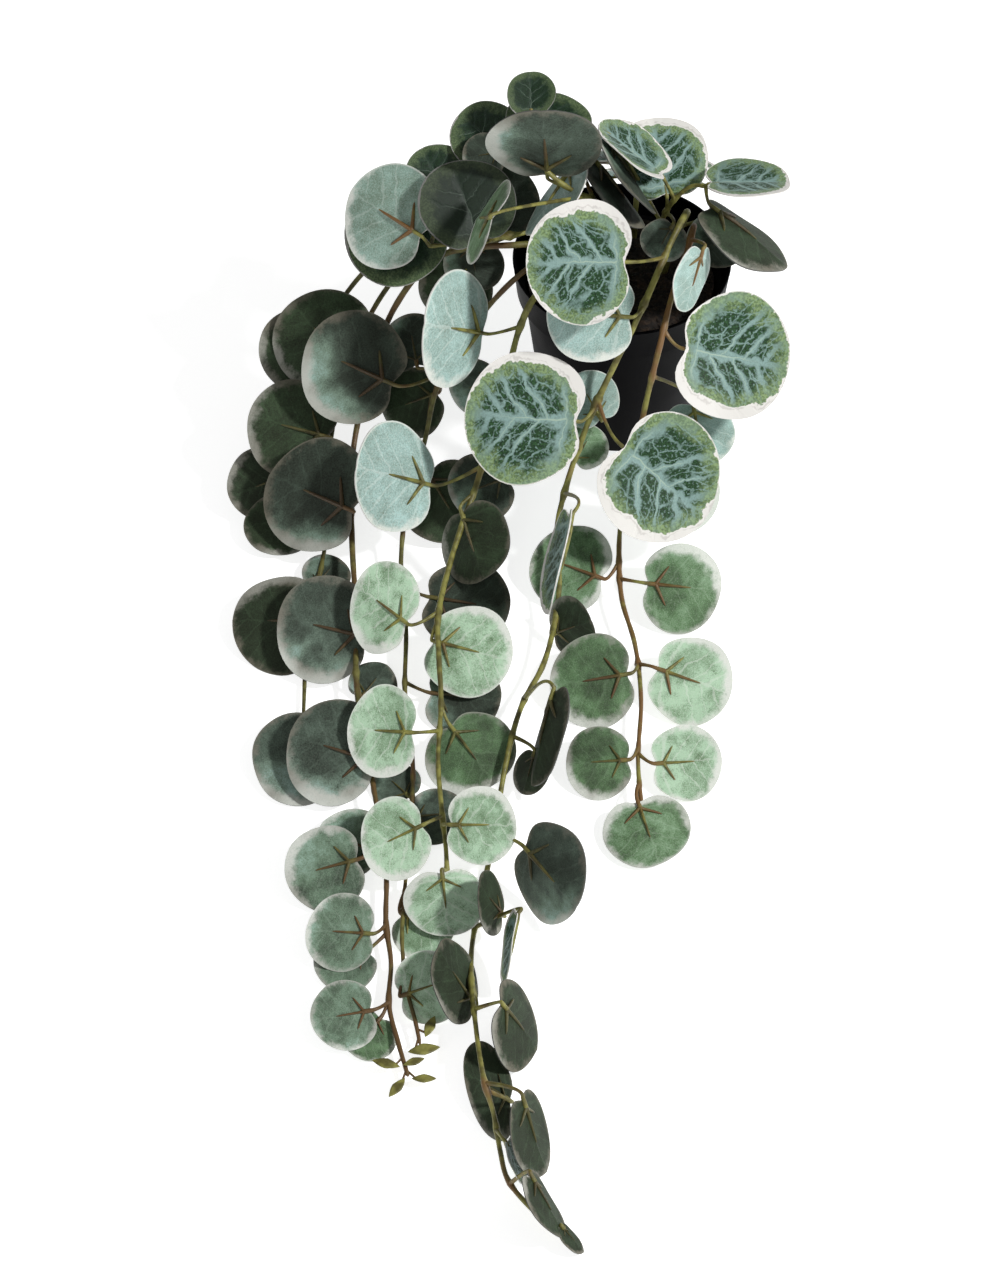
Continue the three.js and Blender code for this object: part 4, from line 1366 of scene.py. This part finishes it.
@dataclass
class Soil:
    """Compost that fills the pot to a low crown, with loose crumbs on it."""

    material: bpy.types.Material
    top: float = 92.0
    crown: float = 3.0
    radius: float = 51.2
    foot: float = 40.4
    low: float = 3.8
    crumbs: int = 230
    crumb_edge: float = 2.5
    unevenness: float = 0.35
    grit: float = 0.4
    settled: float = 0.9
    sides: int = 96
    rings: int = 26
    seed: int = 7

    def build(self) -> bpy.types.Object:
        """Builds the soil.

        Returns:
            The finished piece.
        """
        dice = random.Random(self.seed)
        deselect()
        bpy.ops.mesh.primitive_circle_add(
            vertices=self.sides, radius=self.radius * MM, location=(0, 0, self.top * MM), fill_type="NGON"
        )
        soil = bpy.context.object
        bpy.ops.object.transform_apply(location=True)
        bpy.ops.object.mode_set(mode="EDIT")
        bpy.ops.mesh.select_all(action="SELECT")
        for _ in range(self.rings):
            bpy.ops.mesh.inset(thickness=self.radius * MM / (self.rings + 1))
        bpy.ops.mesh.poke()
        bpy.ops.object.mode_set(mode="OBJECT")
        for point in soil.data.vertices:
            x, y = point.co.x / MM, point.co.y / MM
            share = math.hypot(x, y) / self.radius
            rough = math.sin(x * 0.9 + 1.3 * math.sin(y * 0.5)) + math.sin(y * 1.1 + math.sin(x * 0.7))
            rise = self.crown * (1 - share**2) + self.unevenness * rough * (1 - share**8)
            point.co.z += (rise + dice.uniform(-self.grit, self.grit)) * MM
        crumbs = [self._crumb(dice) for _ in range(self.crumbs)]
        side = self._side()
        activate(soil, side, *crumbs)
        bpy.ops.object.join()
        soil.name = soil.data.name = "soil_fill"
        soil.data.materials.clear()
        soil.data.materials.append(self.material)
        activate(soil)
        bpy.ops.object.shade_smooth_by_angle(angle=math.radians(40))
        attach(soil, BODY)
        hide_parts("soil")
        return soil

    def _side(self) -> bpy.types.Object:
        """The part of the soil that the pot's wall holds."""
        deselect()
        depth = (self.top - self.low) * MM
        bpy.ops.mesh.primitive_cone_add(
            vertices=self.sides,
            radius1=self.foot * MM,
            radius2=self.radius * MM,
            depth=depth,
            location=(0, 0, self.low * MM + depth / 2),
        )
        side = bpy.context.object
        bpy.ops.object.transform_apply(location=True)
        points = coordinates(side.data)
        points[:, 2] -= np.where(points[:, 2] > self.top * MM - 1e-5, self.settled * MM, 0)
        move_to(side.data, points)
        return side

    def _crumb(self, dice: random.Random) -> bpy.types.Object:
        """One loose crumb, half sunk in the soil."""
        away = math.sqrt(dice.random()) * (self.radius - self.crumb_edge)
        heading = dice.uniform(0, math.tau)
        x, y = away * math.cos(heading), away * math.sin(heading)
        z = self.top + self.crown * (1 - (away / self.radius) ** 2)
        deselect()
        size = dice.uniform(0.5, 1.5)
        bpy.ops.mesh.primitive_ico_sphere_add(subdivisions=1, radius=size * MM)
        crumb = bpy.context.object
        points = coordinates(crumb.data) * [dice.uniform(0.7, 1.4), dice.uniform(0.7, 1.4), dice.uniform(0.5, 0.9)]
        move_to(crumb.data, points + np.array((x, y, z)) * MM)
        return crumb


class Lamp(NamedTuple):
    """A soft square light: its place and width in metres, and its power in watts."""

    name: str
    place: tuple[float, float, float]
    size: float
    power: float


@dataclass
class Studio:
    """A plain pale floor, soft lights and the camera."""

    floor_size: float = 14.0
    floor_shade: float = 0.8
    floor_glow: float = 0.75
    air_light: float = 0.24
    air_seen: float = 1.0
    sensor: float = 36.0
    aim: tuple[float, float, float] = (-0.05, -0.2, 0.05)
    lamps: tuple[Lamp, ...] = (
        Lamp("key", (1.45, -0.68, 1.85), 0.24, 50),
        Lamp("front", (-0.9, -2.4, 1.8), 1.6, 13),
    )

    def build(self) -> None:
        """Sets up the studio."""
        self._floor()
        self._camera()
        for lamp in self.lamps:
            self._light(lamp)
        world = bpy.data.worlds.new("studio air")
        bpy.context.scene.world = world
        world.use_nodes = True
        graph = Graph(world.node_tree)
        air = world.node_tree.nodes["Background"]
        seen = graph.signal(graph.add("LightPath"), "Is Camera Ray")
        graph.feed(air.inputs["Color"], (1, 1, 1, 1))
        graph.feed(air.inputs["Strength"], seen * (self.air_seen - self.air_light) + self.air_light)
        bpy.context.scene.view_settings.view_transform = "Standard"

    def _floor(self) -> None:
        """The floor."""
        deselect()
        bpy.ops.mesh.primitive_plane_add(size=self.floor_size)
        floor = bpy.context.object
        floor.name = "floor"
        material = bpy.data.materials.new("pale floor")
        material.use_nodes = True
        inputs = material.node_tree.nodes["Principled BSDF"].inputs
        inputs["Base Color"].default_value = (self.floor_shade,) * 3 + (1,)
        inputs["Roughness"].default_value = 0.9
        inputs["Specular IOR Level"].default_value = 0.1
        inputs["Emission Color"].default_value = (1, 1, 1, 1)
        inputs["Emission Strength"].default_value = self.floor_glow
        floor.data.materials.append(material)

    def _camera(self) -> None:
        """The camera, at the picture's viewing angle."""
        deselect()
        bpy.ops.object.camera_add(location=VIEW.eye(), rotation=(math.pi / 2 - VIEW.slope, 0, 0))
        camera = bpy.context.object
        camera.data.sensor_width = self.sensor
        camera.data.lens = self.sensor * (VIEW.reach / VIEW.pixel) / VIEW.picture_long_side
        bpy.context.scene.camera = camera

    def _light(self, lamp: Lamp) -> None:
        """One soft square light that looks at the plant."""
        deselect()
        bpy.ops.object.light_add(type="AREA", location=lamp.place)
        light = bpy.context.object
        light.name = lamp.name
        light.data.size = lamp.size
        light.data.energy = lamp.power
        light.rotation_mode = "QUATERNION"
        light.rotation_quaternion = (Vector(self.aim) - Vector(lamp.place)).to_track_quat("-Z", "Y")


def report(piece: bpy.types.Object) -> None:
    """Says what a piece weighs in faces."""
    LOG.info("%s: %d faces", piece.name, len(piece.data.polygons))


def main() -> None:
    """Builds the plant, its pot and the studio, in order."""
    logging.basicConfig(level=logging.INFO, format="%(message)s")
    veins = VeinPattern().group()
    cane = CaneFinish("moulded stem").material()
    upper = UpperFinish("printed upper face", veins=veins).material()
    under = UnderFinish("felted underside", veins=veins).material()
    Studio().build()
    report(Pot(PotFinish("black plastic").material()).build())
    report(Soil(SoilFinish("compost").material()).build())
    blade = Blade()
    blade.build(cane, upper, under)
    for number, plan in enumerate(PLANS):
        report(LeafyStem(plan, blade, cane, seed=100 + number).build())
    bpy.data.objects.remove(blade.model)


if __name__ == "__main__":
    main()
